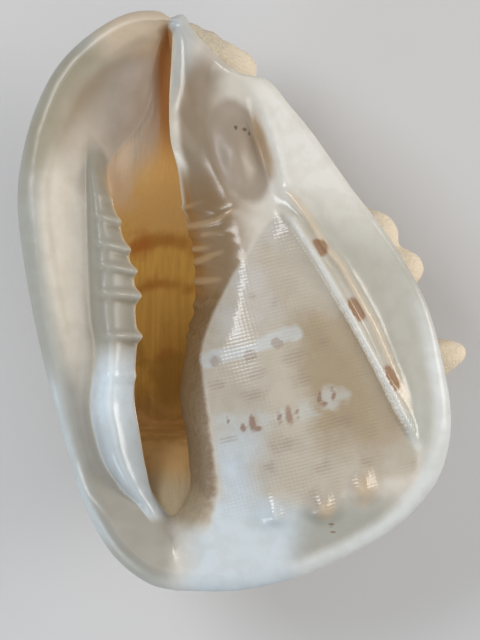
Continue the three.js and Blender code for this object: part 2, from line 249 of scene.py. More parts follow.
@dataclass
class MouthPlan:
    """Outlines of the flared lips and of the mouth in plan."""

    sizes: Proportions
    lip: Pairs = (
        (-29.5, 118.3), (-34, 121), (-46.6, 120.5), (-61.3, 113), (-76, 99.5), (-86.5, 79.8),
        (-92, 59.6), (-93.7, 42.8), (-90.7, 14.3), (-84.4, -18), (-76, -51.7), (-65.5, -85.3),
        (-52.9, -106.7), (-38.2, -118), (-27, -120.8),
    )
    shield: Pairs = (
        (-29.5, 118.3), (-24, 119.7), (-20.6, 114.2), (-10.9, 103.7), (-0.4, 95.3), (10.9, 92.4),
        (20.6, 81.5), (29, 71.4), (45.8, 47.9), (62.6, 26), (77.3, 0), (85.3, -29.4),
        (87.8, -45.4), (87.4, -58), (82.7, -73.9), (74.3, -85.3), (62.6, -95.8), (45.8, -105.4),
        (24.8, -114.7), (-0.4, -120.5), (-27, -120.8),
    )
    outer: Pairs = (
        (-30.6, 115), (-34.4, 108), (-37, 95), (-40, 83), (-46, 72), (-54, 64), (-57.5, 57),
        (-54.5, 44), (-51.2, 33), (-47.6, 21), (-45, 10), (-44.2, -4), (-43.6, -16),
        (-44.4, -31), (-44.6, -41), (-42.4, -54.6), (-40, -68.7), (-36.5, -82), (-29.5, -92),
    )
    inner: Pairs = (
        (-30.6, 115), (-28.6, 111), (-28.7, 101), (-29.8, 80.6), (-29.2, 66.6), (-26.5, 55.4),
        (-24.6, 41.2), (-22, 31.1), (-19.8, 21.6), (-19.2, 10), (-19.6, -2), (-21.6, -11),
        (-23.8, -22), (-25.8, -37.8), (-25.2, -46), (-23.2, -55), (-22, -66), (-22, -79),
        (-29.5, -92),
    )

    def around(self, left: PlanCurve, right: PlanCurve, turn: Array) -> Array:
        """Points at turns round the shell on a pair of curves.

        Args:
            left: Curve down the lip's side, from the canal end.
            right: Curve down the shield's side, from the canal end.
            turn: Turns from 0 to 1.

        Returns:
            One row of x and y for each turn.
        """
        bottom = self.sizes.bottom_turn
        on_left = left.at(np.clip(turn / bottom, 0, 1))
        on_right = right.at(np.clip((1 - turn) / (1 - bottom), 0, 1))
        return np.where((turn <= bottom)[:, None], on_left, on_right)

    def rim(self, turn: Array) -> Array:
        """Edge of the flared lips at each turn."""
        return self.around(PlanCurve(self.lip), PlanCurve(self.shield), turn)

    def mouth(self, turn: Array) -> Array:
        """Edge of the mouth at each turn."""
        return self.around(PlanCurve(self.outer), PlanCurve(self.inner), turn)


# ---- relief of the face ----------------------------------------------------------------------


@dataclass(frozen=True)
class Tooth:
    """One tooth of the outer lip: tip place along the shell, reach into the mouth, slant."""

    place: float
    reach: float
    height: float
    slant: float
    width: float


@dataclass(frozen=True)
class Fold:
    """One pale fold on the pillar: its line in plan, height and half width."""

    line: Pairs
    height: float
    width: float


@dataclass(frozen=True)
class Swell:
    """One soft rise or dip: middle, height, half widths, and cosine and sine of its lean."""

    x: float
    y: float
    height: float
    wide: float
    long: float
    lean: tuple[float, float] = (1.0, 0.0)

    def turned(self, x: Array, y: Array) -> tuple[Array, Array]:
        """Distances across and along from the swell's middle.

        Args:
            x: Plan places across.
            y: Plan places along.

        Returns:
            The two distances in the turned directions.
        """
        cosine, sine = self.lean
        off_x, off_y = x - self.x, y - self.y
        return off_x * cosine + off_y * sine, off_y * cosine - off_x * sine

    def over(self, x: Array, y: Array) -> Array:
        """Height of the swell at plan places."""
        across, along = self.turned(x, y)
        return self.height * hump(across / self.wide) * hump(along / self.long)


@dataclass
class LipRelief:
    """Heights of the outer lip: its rolled band, the furrow and the toothed ridge."""

    plan: MouthPlan
    edge: Pairs = (
        (-95, -12), (-84, -9), (-50, -8), (0, -9), (44, -10), (57, -14), (64, -19), (72, -23),
        (84, -23), (95, -19), (107, -12), (115, -6),
    )
    foot: Pairs = (
        (-93, -37), (-85, -43), (-77, -51), (-64, -58.8), (-43, -63), (-20.6, -61), (-7, -62.8),
        (13, -63.9), (58, -64.8), (72, -64.3),
    )
    ridge: Pairs = (
        (-92, 1), (-80, 5), (-60, 9), (-30, 9), (0, 7.5), (40, 6), (60, 3), (72, 0),
    )
    upper_end: Pairs = (
        (40, -50), (50, -53.5), (58, -56.5), (64, -59), (70, -62.4), (76, -64.3),
    )
    teeth: tuple[Tooth, ...] = (
        Tooth(52.0, 0.0, 0.5, 0.3, 2.8), Tooth(43.0, 0.3, 0.8, 0.3, 2.4),
        Tooth(34.0, 1.4, 1.9, 0.28, 2.5), Tooth(22.2, 1.9, 2.2, 0.24, 2.5),
        Tooth(13.1, 2.4, 2.3, 0.2, 2.3), Tooth(2.6, 3.0, 2.7, 0.1, 2.9),
        Tooth(-14.4, 2.6, 2.4, 0.06, 2.4), Tooth(-31.1, 0.6, 0.8, 0.0, 1.8),
    )

    band_depth: float = 6.5
    band_width: float = 22.0
    furrow_depths: tuple[float, float] = (1.2, 0.2)
    furrow_width: float = 2.4

    def bare_edge(self, y: Array) -> Array:
        """Place across of the mouth's outer edge without its teeth."""
        return across_at(self.plan.outer, y)

    def ridge_edge(self, y: Array) -> Array:
        """Place across of the toothed ridge's inner side, which leaves the mouth's edge above."""
        return np.minimum(self.bare_edge(y), through(self.upper_end, y) + 40 * ease(46, 34, y))

    def tooth_reach(self, y: Array) -> Array:
        """How far the teeth push the mouth's outer edge inward."""
        return sum(t.reach * hump((y - t.place) / (t.width * 0.95)) for t in self.teeth)

    def tooth_height(self, x: Array, y: Array) -> Array:
        """Height of the tooth ridges over the band that carries them.

        Args:
            x: Plan places across.
            y: Plan places along.

        Returns:
            The added height.
        """
        foot = through(self.foot, y)
        edge = self.bare_edge(y)
        across = np.clip((x - foot) / np.maximum(edge - foot, 1.0), 0.0, 1.3)
        total = np.zeros_like(x)
        for tooth in self.teeth:
            line = tooth.place + tooth.slant * (edge - x)
            strength = 0.35 * ease(0.02, 0.3, across) + 0.65 * ease(0.4, 0.95, across)
            total += tooth.height * hump((y - line) / (tooth.width * 0.62)) * strength
        return total

    def height(self, x: Array, y: Array, edge: Array, along: Array, rim: Array) -> Array:
        """Height of the outer lip.

        Args:
            x: Plan places across.
            y: Plan places along.
            edge: Height of the mouth edge in each column.
            along: Share of the way from the mouth edge to the rim's roll.
            rim: Height of the rim's top.

        Returns:
            Heights over the mouth plane.
        """
        slope = mix(edge, rim, along**0.85)
        foot = through(self.foot, y)
        ridged = ease(74, 52, y) * ease(-93, -74, y)
        low = rim - self.band_depth
        groove = mix(*self.furrow_depths, ease(-24, 24, y)) * hump((x - foot) / self.furrow_width)
        band = mix(low, rim, ease(0, self.band_width, foot - x)) - groove
        across = np.clip((x - foot) / np.maximum(self.ridge_edge(y) - foot, 1.0), 0.0, 1.15)
        roll = np.sin(np.pi * np.clip(across, 0, 1) ** 0.8) ** 1.15
        crown = mix(low, edge, np.clip(across, 0, 1)) + through(self.ridge, y) * roll
        crown += self.tooth_height(x, y) - groove
        return mix(slope, np.where(x <= foot, band, crown), ridged)


@dataclass
class ShieldRelief:
    """Heights of the shield: pillar slope, hollow, domed earlier whorl and varix."""

    edge: Pairs = (
        (-95, -12), (-80, -14), (-60, -16), (-40, -17), (0, -18), (30, -15), (50, -9), (66, -3),
        (80, 1), (100, 3), (108, 3), (112, 0.5), (115, -6),
    )
    slope_width: Pairs = (
        (-95, 14), (-80, 13), (-40, 12), (0, 20), (25, 24), (50, 20), (80, 10), (112, 6),
    )
    white_ridge: Pairs = (
        (13.5, 40), (21.4, 33.8), (34, 13.9), (45.4, -5.7), (58.2, -29), (70.1, -51.9),
        (73.5, -60.5),
    )
    warm_ridge: Pairs = (
        (13, 47), (20.6, 44.5), (27.3, 35.8), (34, 24), (41.5, 15), (48.6, 2.4), (55.4, -9.6),
        (65.4, -33.3), (70.6, -45.4),
    )
    folds: tuple[Fold, ...] = (
        Fold([(-22.3, 31.5), (-16, 32.4), (-10, 33.8), (-3.4, 38.2)], 2.0, 1.3),
        Fold([(-23.5, 39.5), (-16, 42)], 0.8, 1.3),
        Fold([(-16, 28), (-7.3, 28.9)], 1.0, 1.2),
        Fold([(-20.5, 22.0), (-14, 22.8)], 1.6, 1.3),
        Fold([(-19.9, 16.6), (-14, 18.6), (-8, 21)], 1.9, 1.3),
        Fold([(-19.6, 8.6), (-9, 9.4)], 1.8, 1.5),
        Fold([(-19.8, -1.2), (-8, 0.6)], 1.8, 1.4),
        Fold([(-19.4, -9.4), (-16.4, -9.2)], 0.6, 0.9),
        Fold([(-21, -14.2), (-18.6, -15)], 0.6, 0.9),
    )
    bulges: tuple[tuple[float, float, float], ...] = (
        (13.9, -91.6, 4.2), (34.0, -88.6, 4.6), (50.5, -80.6, 4.8),
    )
    bulge_height: float = 3.4
    # Height and half width of the varix and of its two ridges.
    varix: tuple[float, float] = (2.4, 8.0)
    white: tuple[float, float] = (3.6, 1.6)
    warm: tuple[float, float] = (2.5, 1.9)
    # Height and half width of the canal's raised edge.
    crest: tuple[float, float] = (2.6, 2.6)
    earlier_whorl: Swell = Swell(15, -32, 10.0, 31, 50, (0.97, 0.23))
    dips: tuple[Swell, ...] = (
        Swell(62, -2, -3.0, 14, 45), Swell(73, -52, -2.6, 5.5, 13), Swell(-15, 84, -3.5, 9, 26),
    )
    navel: Swell = Swell(-0.5, 63, -5.0, 11.0, 23.0, (0.95, 0.31))
    navel_swells: tuple[Swell, ...] = (
        Swell(-2.6, -2, 5.2, 6.4, 15), Swell(-10, -3, -0.8, 3.4, 14),
        Swell(8.6, 1, -2.6, 3.4, 15), Swell(13.5, -2, 1.6, 4, 18),
    )

    def fold_height(self, x: Array, y: Array) -> Array:
        """Height of the pale folds on the pillar.

        Args:
            x: Plan places across.
            y: Plan places along.

        Returns:
            Heights to add.
        """
        total = np.zeros_like(x)
        for fold in self.folds:
            gap, share = nearest_on(fold.line, x, y)
            total += fold.height * hump(gap / fold.width) * mix(1.0, 0.35, share)
        return total

    def varix_height(self, x: Array, y: Array) -> Array:
        """Height of the two ridges of the old lip that crosses the shield.

        Args:
            x: Plan places across.
            y: Plan places along.

        Returns:
            Heights to add.
        """
        gap_white, at_white = nearest_on(self.white_ridge, x, y)
        gap_warm, at_warm = nearest_on(self.warm_ridge, x, y)
        (broad_top, broad_half), (white_top, white_half), (warm_top, warm_half) = (
            self.varix, self.white, self.warm
        )
        broad = broad_top * hump(gap_white / broad_half) * ease(0, 0.12, at_white)
        white = white_top * hump(gap_white / white_half) * ease(0, 0.14, at_white) * ease(1, 0.92, at_white)
        warm = warm_top * hump(gap_warm / warm_half) * ease(0, 0.12, at_warm) * ease(1, 0.8, at_warm)
        return broad + white + warm

    def navel_height(self, x: Array, y: Array) -> Array:
        """Depth of the navel beside the pillar and the glossy swelling in it.

        Args:
            x: Plan places across.
            y: Plan places along.

        Returns:
            Heights to add, below zero in the bowl.
        """
        across, along = self.navel.turned(x, y)
        bowl = ease(1.45, 0.4, np.hypot((across - 2.0) / self.navel.wide, along / self.navel.long))
        return self.navel.height * bowl + sum(part.over(across, along) for part in self.navel_swells)

    def plateau(self, x: Array, y: Array) -> Array:
        """Height of the shield away from the mouth's edge.

        Args:
            x: Plan places across.
            y: Plan places along.

        Returns:
            Heights over the mouth plane.
        """
        total = sum(swell.over(x, y) for swell in (self.earlier_whorl, *self.dips))
        total = total + self.varix_height(x, y) + self.navel_height(x, y)
        for at_x, at_y, spread in self.bulges:
            fall = np.where(y < at_y + 2, spread * 0.7, spread * 1.9)
            total += self.bulge_height * hump(np.hypot((x - at_x) / spread, (y - at_y - 2) / fall))
        return total

    def height(self, x: Array, y: Array, edge: Array, width: Array, place: Array) -> Array:
        """Height of the shield and of the slope that falls from it to the mouth.

        Args:
            x: Plan places across.
            y: Plan places along.
            edge: Height of the mouth edge in each column.
            width: Width of the slope in each column.
            place: Distance from the mouth edge.

        Returns:
            Heights over the mouth plane.
        """
        fall = 1 - (1 - np.clip(place / width, 0, 1)) ** 2
        level = self.plateau(x, y) - droop(x)
        crest = self.crest[0] * hump(place / self.crest[1]) * ease(70, 92, y) * ease(121, 112, y)
        return mix(edge, level, fall) + self.fold_height(x, y) + crest


@dataclass
class Face:
    """The upward side: one grid of points from the mouth edge out to the rim."""

    sizes: Proportions
    plan: MouthPlan
    lip: LipRelief
    shield: ShieldRelief
    thickness: Pairs = (
        (0, 3), (0.1, 4), (0.25, 5.5), (0.42, 6), (0.5, 6), (0.62, 5.5), (0.75, 3.4), (0.9, 2.4),
        (1, 3),
    )
    roll_rings: int = 12
    crowding: float = 1.12
    fold_reach: float = 0.9
    fold_reach_width: float = 1.6

    def grow(self, turn: Array) -> None:
        """Work out the rim, the mouth edge and the grid of points.

        Args:
            turn: Turn of each column.
        """
        self.turn = turn
        rim = self.plan.rim(turn)
        mouth = self.plan.mouth(turn)
        lipside = turn < self.sizes.bottom_turn
        reach = self.lip.tooth_reach(mouth[:, 1]) * lipside
        mouth[:, 0] += reach
        waver = self.fold_reach * sum(
            hump((mouth[:, 1] - fold.line[0][1]) / self.fold_reach_width)
            for fold in self.shield.folds
        )
        mouth[:, 0] -= waver * ~lipside
        self.rim_plan, self.mouth_plan = rim, mouth
        self.span = np.hypot(*(rim - mouth).T)
        self.half = through(self.thickness, turn)
        self.roll = np.minimum(self.half * 1.5, self.span * 0.4)
        inner = self.sizes.face_rings - self.roll_rings
        share = (np.arange(inner + 1) / inner) ** self.crowding
        places = [(self.span - self.roll) * s for s in share]
        bend = np.sin(np.linspace(0, np.pi / 2, self.roll_rings))[1:]
        places += [self.span - self.roll * (1 - b) for b in bend]
        self.place = np.array(places)
        self.points = self.heights(self.place)

    def heights(self, place: Array) -> Array:
        """Points of the face at distances from the mouth edge.

        Args:
            place: Distances, one row for each ring and one column for each turn.

        Returns:
            Points with x, y and height.
        """
        share = place / self.span
        x = mix(self.mouth_plan[:, 0], self.rim_plan[:, 0], share)
        y = mix(self.mouth_plan[:, 1], self.rim_plan[:, 1], share)
        y_edge = self.mouth_plan[:, 1]
        along = np.clip(place / (self.span - self.roll), 0, 1)
        lip = self.lip.height(x, y, through(self.lip.edge, y_edge), along, -droop(x))
        width = np.minimum(through(self.shield.slope_width, y_edge), self.span - self.roll)
        shield = self.shield.height(x, y, through(self.shield.edge, y_edge), width, place)
        bottom = self.sizes.bottom_turn
        side = ease(-0.045, 0.04, self.turn - bottom) * ease(0.012, -0.012, self.turn - 0.994)
        near_top = np.where(self.turn < 0.5, self.turn, self.turn - 1)
        side = np.where(self.turn < 0.5, side, np.maximum(side, ease(-0.004, -0.02, near_top)))
        z = mix(lip, shield, side)
        in_roll = np.clip((place - self.span + self.roll) / self.roll, 0, 1)
        z -= self.half * (1 - np.sqrt(np.maximum(1 - in_roll**2, 0)))
        return np.stack([x, y, z], axis=-1)


# ---- the coiled body -------------------------------------------------------------------------


@dataclass(frozen=True)
class Knob:
    """One knob: place along the axis, degrees back from the lip, height, spread and bluntness."""

    along: float
    degrees: float
    height: float
    spread: float
    bluntness: float = 1.7


@dataclass
class CoiledBody:
    """Body whorl, earlier whorls of the spire, knobs, and the canal end that turns back."""

    apex: tuple[float, float, float] = (22, -100, -52)
    canal_end: tuple[float, float, float] = (-30, 118, -42)
    shoulder: float = 60.0
    profile: Pairs = (
        (20, 0), (25, 20), (30, 36), (37, 52), (46, 66), (56, 74), (68, 77), (85, 78.5),
        (105, 77.5), (122, 73), (140, 65.5), (160, 54), (180, 41), (195, 31), (205, 26),
        (214, 22), (220, 17), (225, 9), (227, 0),
    )
    growth: Pairs = (
        (0, 1), (90, 0.955), (180, 0.92), (215, 0.88), (300, 0.68), (360, 0.56),
    )
    earlier_whorl_ratio: float = 1.75
    earlier_whorls: int = 5
    lip_rise: float = 18.0
    lip_rise_spread: float = 50.0
    hook: Swell = Swell(206, 90, 13.0, 13.0, 55.0)
    stride: float = 3.0
    farthest: float = 200.0
    halvings: int = 13
    knobs: tuple[Knob, ...] = (
        Knob(50, 16, 9, 11), Knob(57, 60, 16.6, 13), Knob(56, 87, 6, 9),
        Knob(57, 114, 14, 13), Knob(57, 145, 9, 11), Knob(58, 174, 23, 10.2, 2.8),
        Knob(97, 20, 5, 9), Knob(99, 50, 5, 9), Knob(100, 80, 2.5, 9), Knob(100, 110, 3, 9),
        Knob(100, 142, 7, 9), Knob(100.5, 176, 11.5, 9.4, 3.0), Knob(122, 30, 4, 9),
        Knob(122, 52, 5, 9), Knob(124, 82, 13.8, 13), Knob(121, 116, 5, 9),
        Knob(119, 148, 5, 8), Knob(120, 175, 8.3, 9.4, 3.0), Knob(204, 170, 6.5, 9, 2.2),
    )

    def __post_init__(self) -> None:
        """Set the coiling axis and the two directions square to it."""
        self.origin = np.array(self.apex, float)
        run = np.array(self.canal_end, float) - self.origin
        self.length = float(np.linalg.norm(run))
        self.axis = run / self.length
        lipward = np.array([-1.0, 0.0, 0.0]) + self.axis[0] * self.axis
        self.lipward = lipward / np.linalg.norm(lipward)
        self.backward = np.cross(self.lipward, self.axis)

    def size(self, degrees: Array) -> Array:
        """Size of the whorl at an angle back from the lip.

        Args:
            degrees: Angles back from the lip.

        Returns:
            Size as a share of the last whorl's at the lip.
        """
        turns = (np.asarray(degrees, float) - 360) / 360
        older = self.growth[-1][1] * self.earlier_whorl_ratio ** (-turns)
        return np.where(degrees <= 360, through(self.growth, degrees), older)

    def rise(self, along: Array, degrees: Array) -> Array:
        """How far the last part of the whorl climbs toward the spire."""
        return self.lip_rise * hump(np.asarray(degrees, float) / self.lip_rise_spread) * ease(120, 40, along)

    def last_whorl(self, along: Array, degrees: Array) -> Array:
        """Radius of the last whorl.

        Args:
            along: Distances along the axis from the apex.
            degrees: Angles back from the lip.

        Returns:
            Radii round the axis.
        """
        size = self.size(degrees)
        risen = along + self.rise(along, degrees)
        bend = self.shoulder * size
        stretch = (self.length - self.shoulder) / (self.length - bend)
        place = np.where(risen < bend, risen / size, self.shoulder + (risen - bend) * stretch)
        return size * through(self.profile, place)

    def radius(self, along: Array, degrees: Array) -> Array:
        """Radius of the outside of all whorls together.

        Args:
            along: Distances along the axis from the apex.
            degrees: Angles back from the lip.

        Returns:
            Radii round the axis.
        """
        radius = self.last_whorl(along, degrees)
        start = self.last_whorl(along, np.zeros_like(degrees)) * ease(300, 335, degrees)
        radius = np.where(degrees > 290, np.maximum(radius, start), radius)
        radius = radius + self.hook.over(along, degrees)
        for turn in range(1, self.earlier_whorls + 1):
            size = self.size(degrees + 360.0 * turn)
            radius = np.maximum(radius, size * through(self.profile, along / size))
        return radius

    def coordinates(self, points: Array) -> tuple[Array, Array, Array]:
        """Distance along the axis, degrees back from the lip and radius of points.

        Args:
            points: Points on or near the shell.

        Returns:
            The three measures, one for each point.
        """
        off = points - self.origin
        lip, back = off @ self.lipward, off @ self.backward
        return off @ self.axis, np.degrees(np.arctan2(back, lip)) % 360, np.hypot(lip, back)

    def point(self, along: Array, degrees: Array, radius: Array) -> Array:
        """Points at distances along the axis, angles and radii.

        Args:
            along: Distances along the axis from the apex.
            degrees: Angles back from the lip.
            radius: Distances out from the axis.

        Returns:
            Rows of x, y and height.
        """
        angle = np.radians(degrees)
        across = (radius * np.cos(angle))[..., None] * self.lipward
        deep = (radius * np.sin(angle))[..., None] * self.backward
        return self.origin + np.asarray(along)[..., None] * self.axis + across + deep

    def raised(self, points: Array) -> Array:
        """Points with the knobs drawn out of them.

        Args:
            points: Rows of x, y and height.

        Returns:
            The moved points.
        """
        out = points.copy()
        for knob in self.knobs:
            along, angle = np.array([knob.along]), np.array([knob.degrees])
            foot = self.radius(along, angle)
            base = self.point(along, angle, foot)[0]
            tip = self.point(along, angle, foot + knob.height)[0]
            gap = np.linalg.norm(points - base, axis=-1) / knob.spread
            out += np.exp(-(gap**knob.bluntness))[..., None] * (tip - base)
        return out

    def reach(self, start: Array, direction: Array) -> Array:
        """Distance from inside the body to its outside along rays.

        Args:
            start: Start points, one row for each ray.
            direction: Unit directions.

        Returns:
            One distance for each ray.
        """

        def outside(rays: Array, distance: Array) -> Array:
            """Whether points along some rays are outside the body."""
            along, degrees, out = self.coordinates(start[rays] + direction[rays] * distance[:, None])
            return out >= self.radius(along, degrees)

        far = np.full(len(start), self.stride + 1.0)
        live = np.arange(len(start))
        while len(live):
            live = live[~outside(live, far[live]) & (far[live] < self.farthest)]
            far[live] += self.stride
        low, high = far - self.stride, far.copy()
        rays = np.arange(len(start))
        for _ in range(self.halvings):
            middle = (low + high) / 2
            out = outside(rays, middle)
            low, high = np.where(out, low, middle), np.where(out, middle, high)
        return (low + high) / 2


@dataclass
class Back:
    """The underside: from the rim's edge under the flare and over the body to its pole."""

    body: CoiledBody
    face: Face
    centre: tuple[float, float] = (2.0, -12.0)
    flare_depth: float = 42.0
    flare_bend: float = 12.0
    fillet: float = 14.0
    steps: int = 220
    crowding: float = 1.5
    edge_rings: int = 6
    flare_rings: int = 14
    smoothed_columns: int = 15
    slope: Pairs = (
        (0, 1.7), (0.025, 1.2), (0.06, 0.8), (0.13, 0.75), (0.22, 0.45), (0.3, 0.3),
        (0.44, 0.3), (0.52, 0.22), (0.95, 0.25), (0.98, 0.9), (1, 1.7),
    )

    def line(self) -> tuple[Array, Array]:
        """Points down every column, and the step at which the body begins.

        Returns:
            Points by step and column, and the first step past the flare.
        """
        edge = self.face.points[-1]
        start = np.column_stack([np.full((len(edge), 2), self.centre), edge[:, 2]])
        outward = edge - start
        reach = np.linalg.norm(outward, axis=1)
        outward /= reach[:, None]
        angle = (math.pi / 2) * (np.arange(self.steps + 1) / self.steps) ** self.crowding
        flat, down = np.cos(angle)[:, None], np.sin(angle)[:, None]
        direction = outward[None] * flat[..., None] + np.array([0, 0, -1.0]) * down[..., None]
        slope = through(self.slope, self.face.turn)
        half = self.face.half
        upright = reach / np.maximum(flat, 0.02)
        under = (half + slope * reach) / (slope * flat + down)
        lowest = self.flare_depth / np.maximum(down, 0.01)
        flange = smooth_min(upright, smooth_min(under, lowest, self.flare_bend), half)
        starts = np.broadcast_to(start, direction.shape).reshape(-1, 3)
        body = self.body.reach(starts, direction.reshape(-1, 3)).reshape(flange.shape)
        fillet = np.maximum(self.fillet * ease(0, 0.08, angle), 0.01)[:, None]
        distance = smooth_max(flange, body, fillet)
        distance[0] = reach
        past = body > flange
        past[0] = False
        return start + direction * distance[..., None], np.argmax(past, axis=0)

    def grow(self, rings: int) -> Array:
        """Rings of the underside, from just past the rim's edge to the pole.

        Args:
            rings: How many rings to make.

        Returns:
            Points by ring and column.
        """
        line, corner = self.line()
        raised = self.body.raised(line)
        raised[0] = self.face.points[-1]
        gaps = np.linalg.norm(np.diff(raised, axis=0), axis=2)
        lengths = np.vstack([np.zeros(gaps.shape[1]), np.cumsum(gaps, axis=0)])
        turn_at = lengths[corner, np.arange(len(corner))]
        window = np.hanning(self.smoothed_columns)
        turn_at = np.pad(turn_at, self.smoothed_columns // 2, mode="wrap")
        turn_at = np.convolve(turn_at, window / window.sum(), mode="valid")
        rounded = np.minimum(self.face.half * 2.1, turn_at * 0.5)
        out = np.zeros((rings, len(corner), 3))
        corner_ring = self.edge_rings + self.flare_rings
        for r in range(1, rings + 1):
            if r <= self.edge_rings:
                place = rounded * (r / self.edge_rings) ** 1.1
            elif r <= corner_ring:
                place = mix(rounded, turn_at, (r - self.edge_rings) / self.flare_rings)
            else:
                place = mix(turn_at, lengths[-1], (r - corner_ring) / (rings - corner_ring))
            for c in range(len(corner)):
                for k in range(3):
                    out[r - 1, c, k] = np.interp(place[c], lengths[:, c], raised[:, c, k])
        return out


@dataclass
class MouthHollow:
    """The open room of the last whorl, from the mouth's edge round the pillar."""

    sizes: Proportions
    body: CoiledBody
    face: Face
    turns: tuple[float, float] = (-12.0, 236.0)
    roof: float = 37.0
    crowding: float = 1.35
    blind_from: float = 0.72
    blind_end: tuple[float, float] = (105.0, 38.0)
    # Fall of the ramp off the lip: for each millimetre, for each squared, and into the gutter.
    ramp: tuple[float, float, float] = (0.55, 0.012, 9.0)
    # Floor at the lower end: its end along the shell, height there, and fall further up.
    floor: tuple[float, float, float, float] = (-90, -12.6, 0.25, 0.022)
    wall: Pairs = (
        (208, 8), (202, 14.5), (193, 22.5), (180, 33.5), (160, 48), (140, 60), (122, 67.5),
        (105, 72), (85, 73), (68, 71.5), (56, 68.5), (48, 61), (41, 50), (38, 40),
    )
    pillar: Pairs = (
        (208, 8), (205, 4), (190, 5), (160, 8), (120, 11), (80, 15), (50, 22), (41, 31), (38, 40),
    )
    throat: Pairs = (
        (-92, 16), (-70, 22), (70, 22), (95, 16), (112, 6),
    )

    def grow(self, rings: int) -> tuple[Array, Array]:
        """Rings of the hollow, from its blind inner end to the mouth's edge.

        Args:
            rings: How many rings to make.

        Returns:
            Points by ring and column, and each ring's depth from 1 to 0.
        """
        turn = self.face.turn
        section = self.face.plan.around(PlanCurve(self.wall), PlanCurve(self.pillar), turn)
        edge = self.face.points[0]
        depths = 1 - np.arange(rings) / rings
        out = []
        for depth in depths:
            degrees = mix(*self.turns, depth**self.crowding)
            rounded = np.clip((depth - self.blind_from) / (1 - self.blind_from), 0, 1)
            shrink = math.sqrt(max(1 - rounded * rounded, 0.0))
            along, radius = (mix(end, section[:, k], shrink) for k, end in enumerate(self.blind_end))
            size = float(self.body.size(np.array(max(degrees, 0.0))))
            shoulder = self.body.shoulder
            bend = shoulder * size
            stretch = (self.body.length - bend) / (self.body.length - shoulder)
            place = np.where(along < shoulder, along * size, bend + (along - shoulder) * stretch)
            sunk = place - self.body.rise(place, degrees)
            rising = math.sin(math.radians(min(max(degrees - 180, 12), 90)))
            inside = self.body.point(
                sunk, np.full_like(sunk, degrees), np.minimum(radius * size, self.roof / rising)
            )
            start = edge.copy()
            start[:, 2] -= through(self.throat, edge[:, 1]) * ease(0, 0.35, depth)
            out.append(mix(start, inside, ease(0.02, 0.36, depth)))
        return self.filled(np.array(out)), depths

    def filled(self, points: Array) -> Array:
        """Points with the canal end filled by a ramp that falls from the lip to a gutter.

        Args:
            points: Rings of the hollow.

        Returns:
            The same rings, raised and drawn in where the canal narrows.
        """
        relief = self.face.lip
        x, y, z = points[..., 0], points[..., 1], points[..., 2]
        edge_x = relief.bare_edge(y)
        edge_z = through(relief.edge, y)
        inner_x = across_at(self.face.plan.inner, y)
        share = ease(24, 66, y) * ease(118, 112, y)
        step = 0.5 * (len(points) - np.arange(len(points)))[:, None]
        step = np.minimum(step, 0.35 * np.maximum(inner_x - edge_x, 0))
        step = step * (self.face.turn < self.sizes.bottom_turn)
        pulled = mix(x, np.maximum(x, edge_x + step), share)
        off = np.maximum(pulled - edge_x, 0)
        slope, curve, gutter = self.ramp
        ramp = edge_z - slope * off - curve * off**2 - gutter * ease(-36.5, -33.0, pulled)
        soft = 5.0 * ease(0, 7, off) + 0.01
        raised = mix(z, smooth_max(z, ramp, soft), share)
        past = np.maximum(np.maximum(edge_x - pulled, pulled - inner_x), 0)
        end, height, slope, curve = self.floor
        above = np.maximum(y - end, 0)
        climb = height - slope * above - curve * above**2
        lifted = smooth_max(raised, climb - 0.5 * past, 4.0 * ease(0, 5, past) + 0.01)
        return np.stack([pulled, y, mix(raised, lifted, ease(-50, -60, y))], axis=-1)


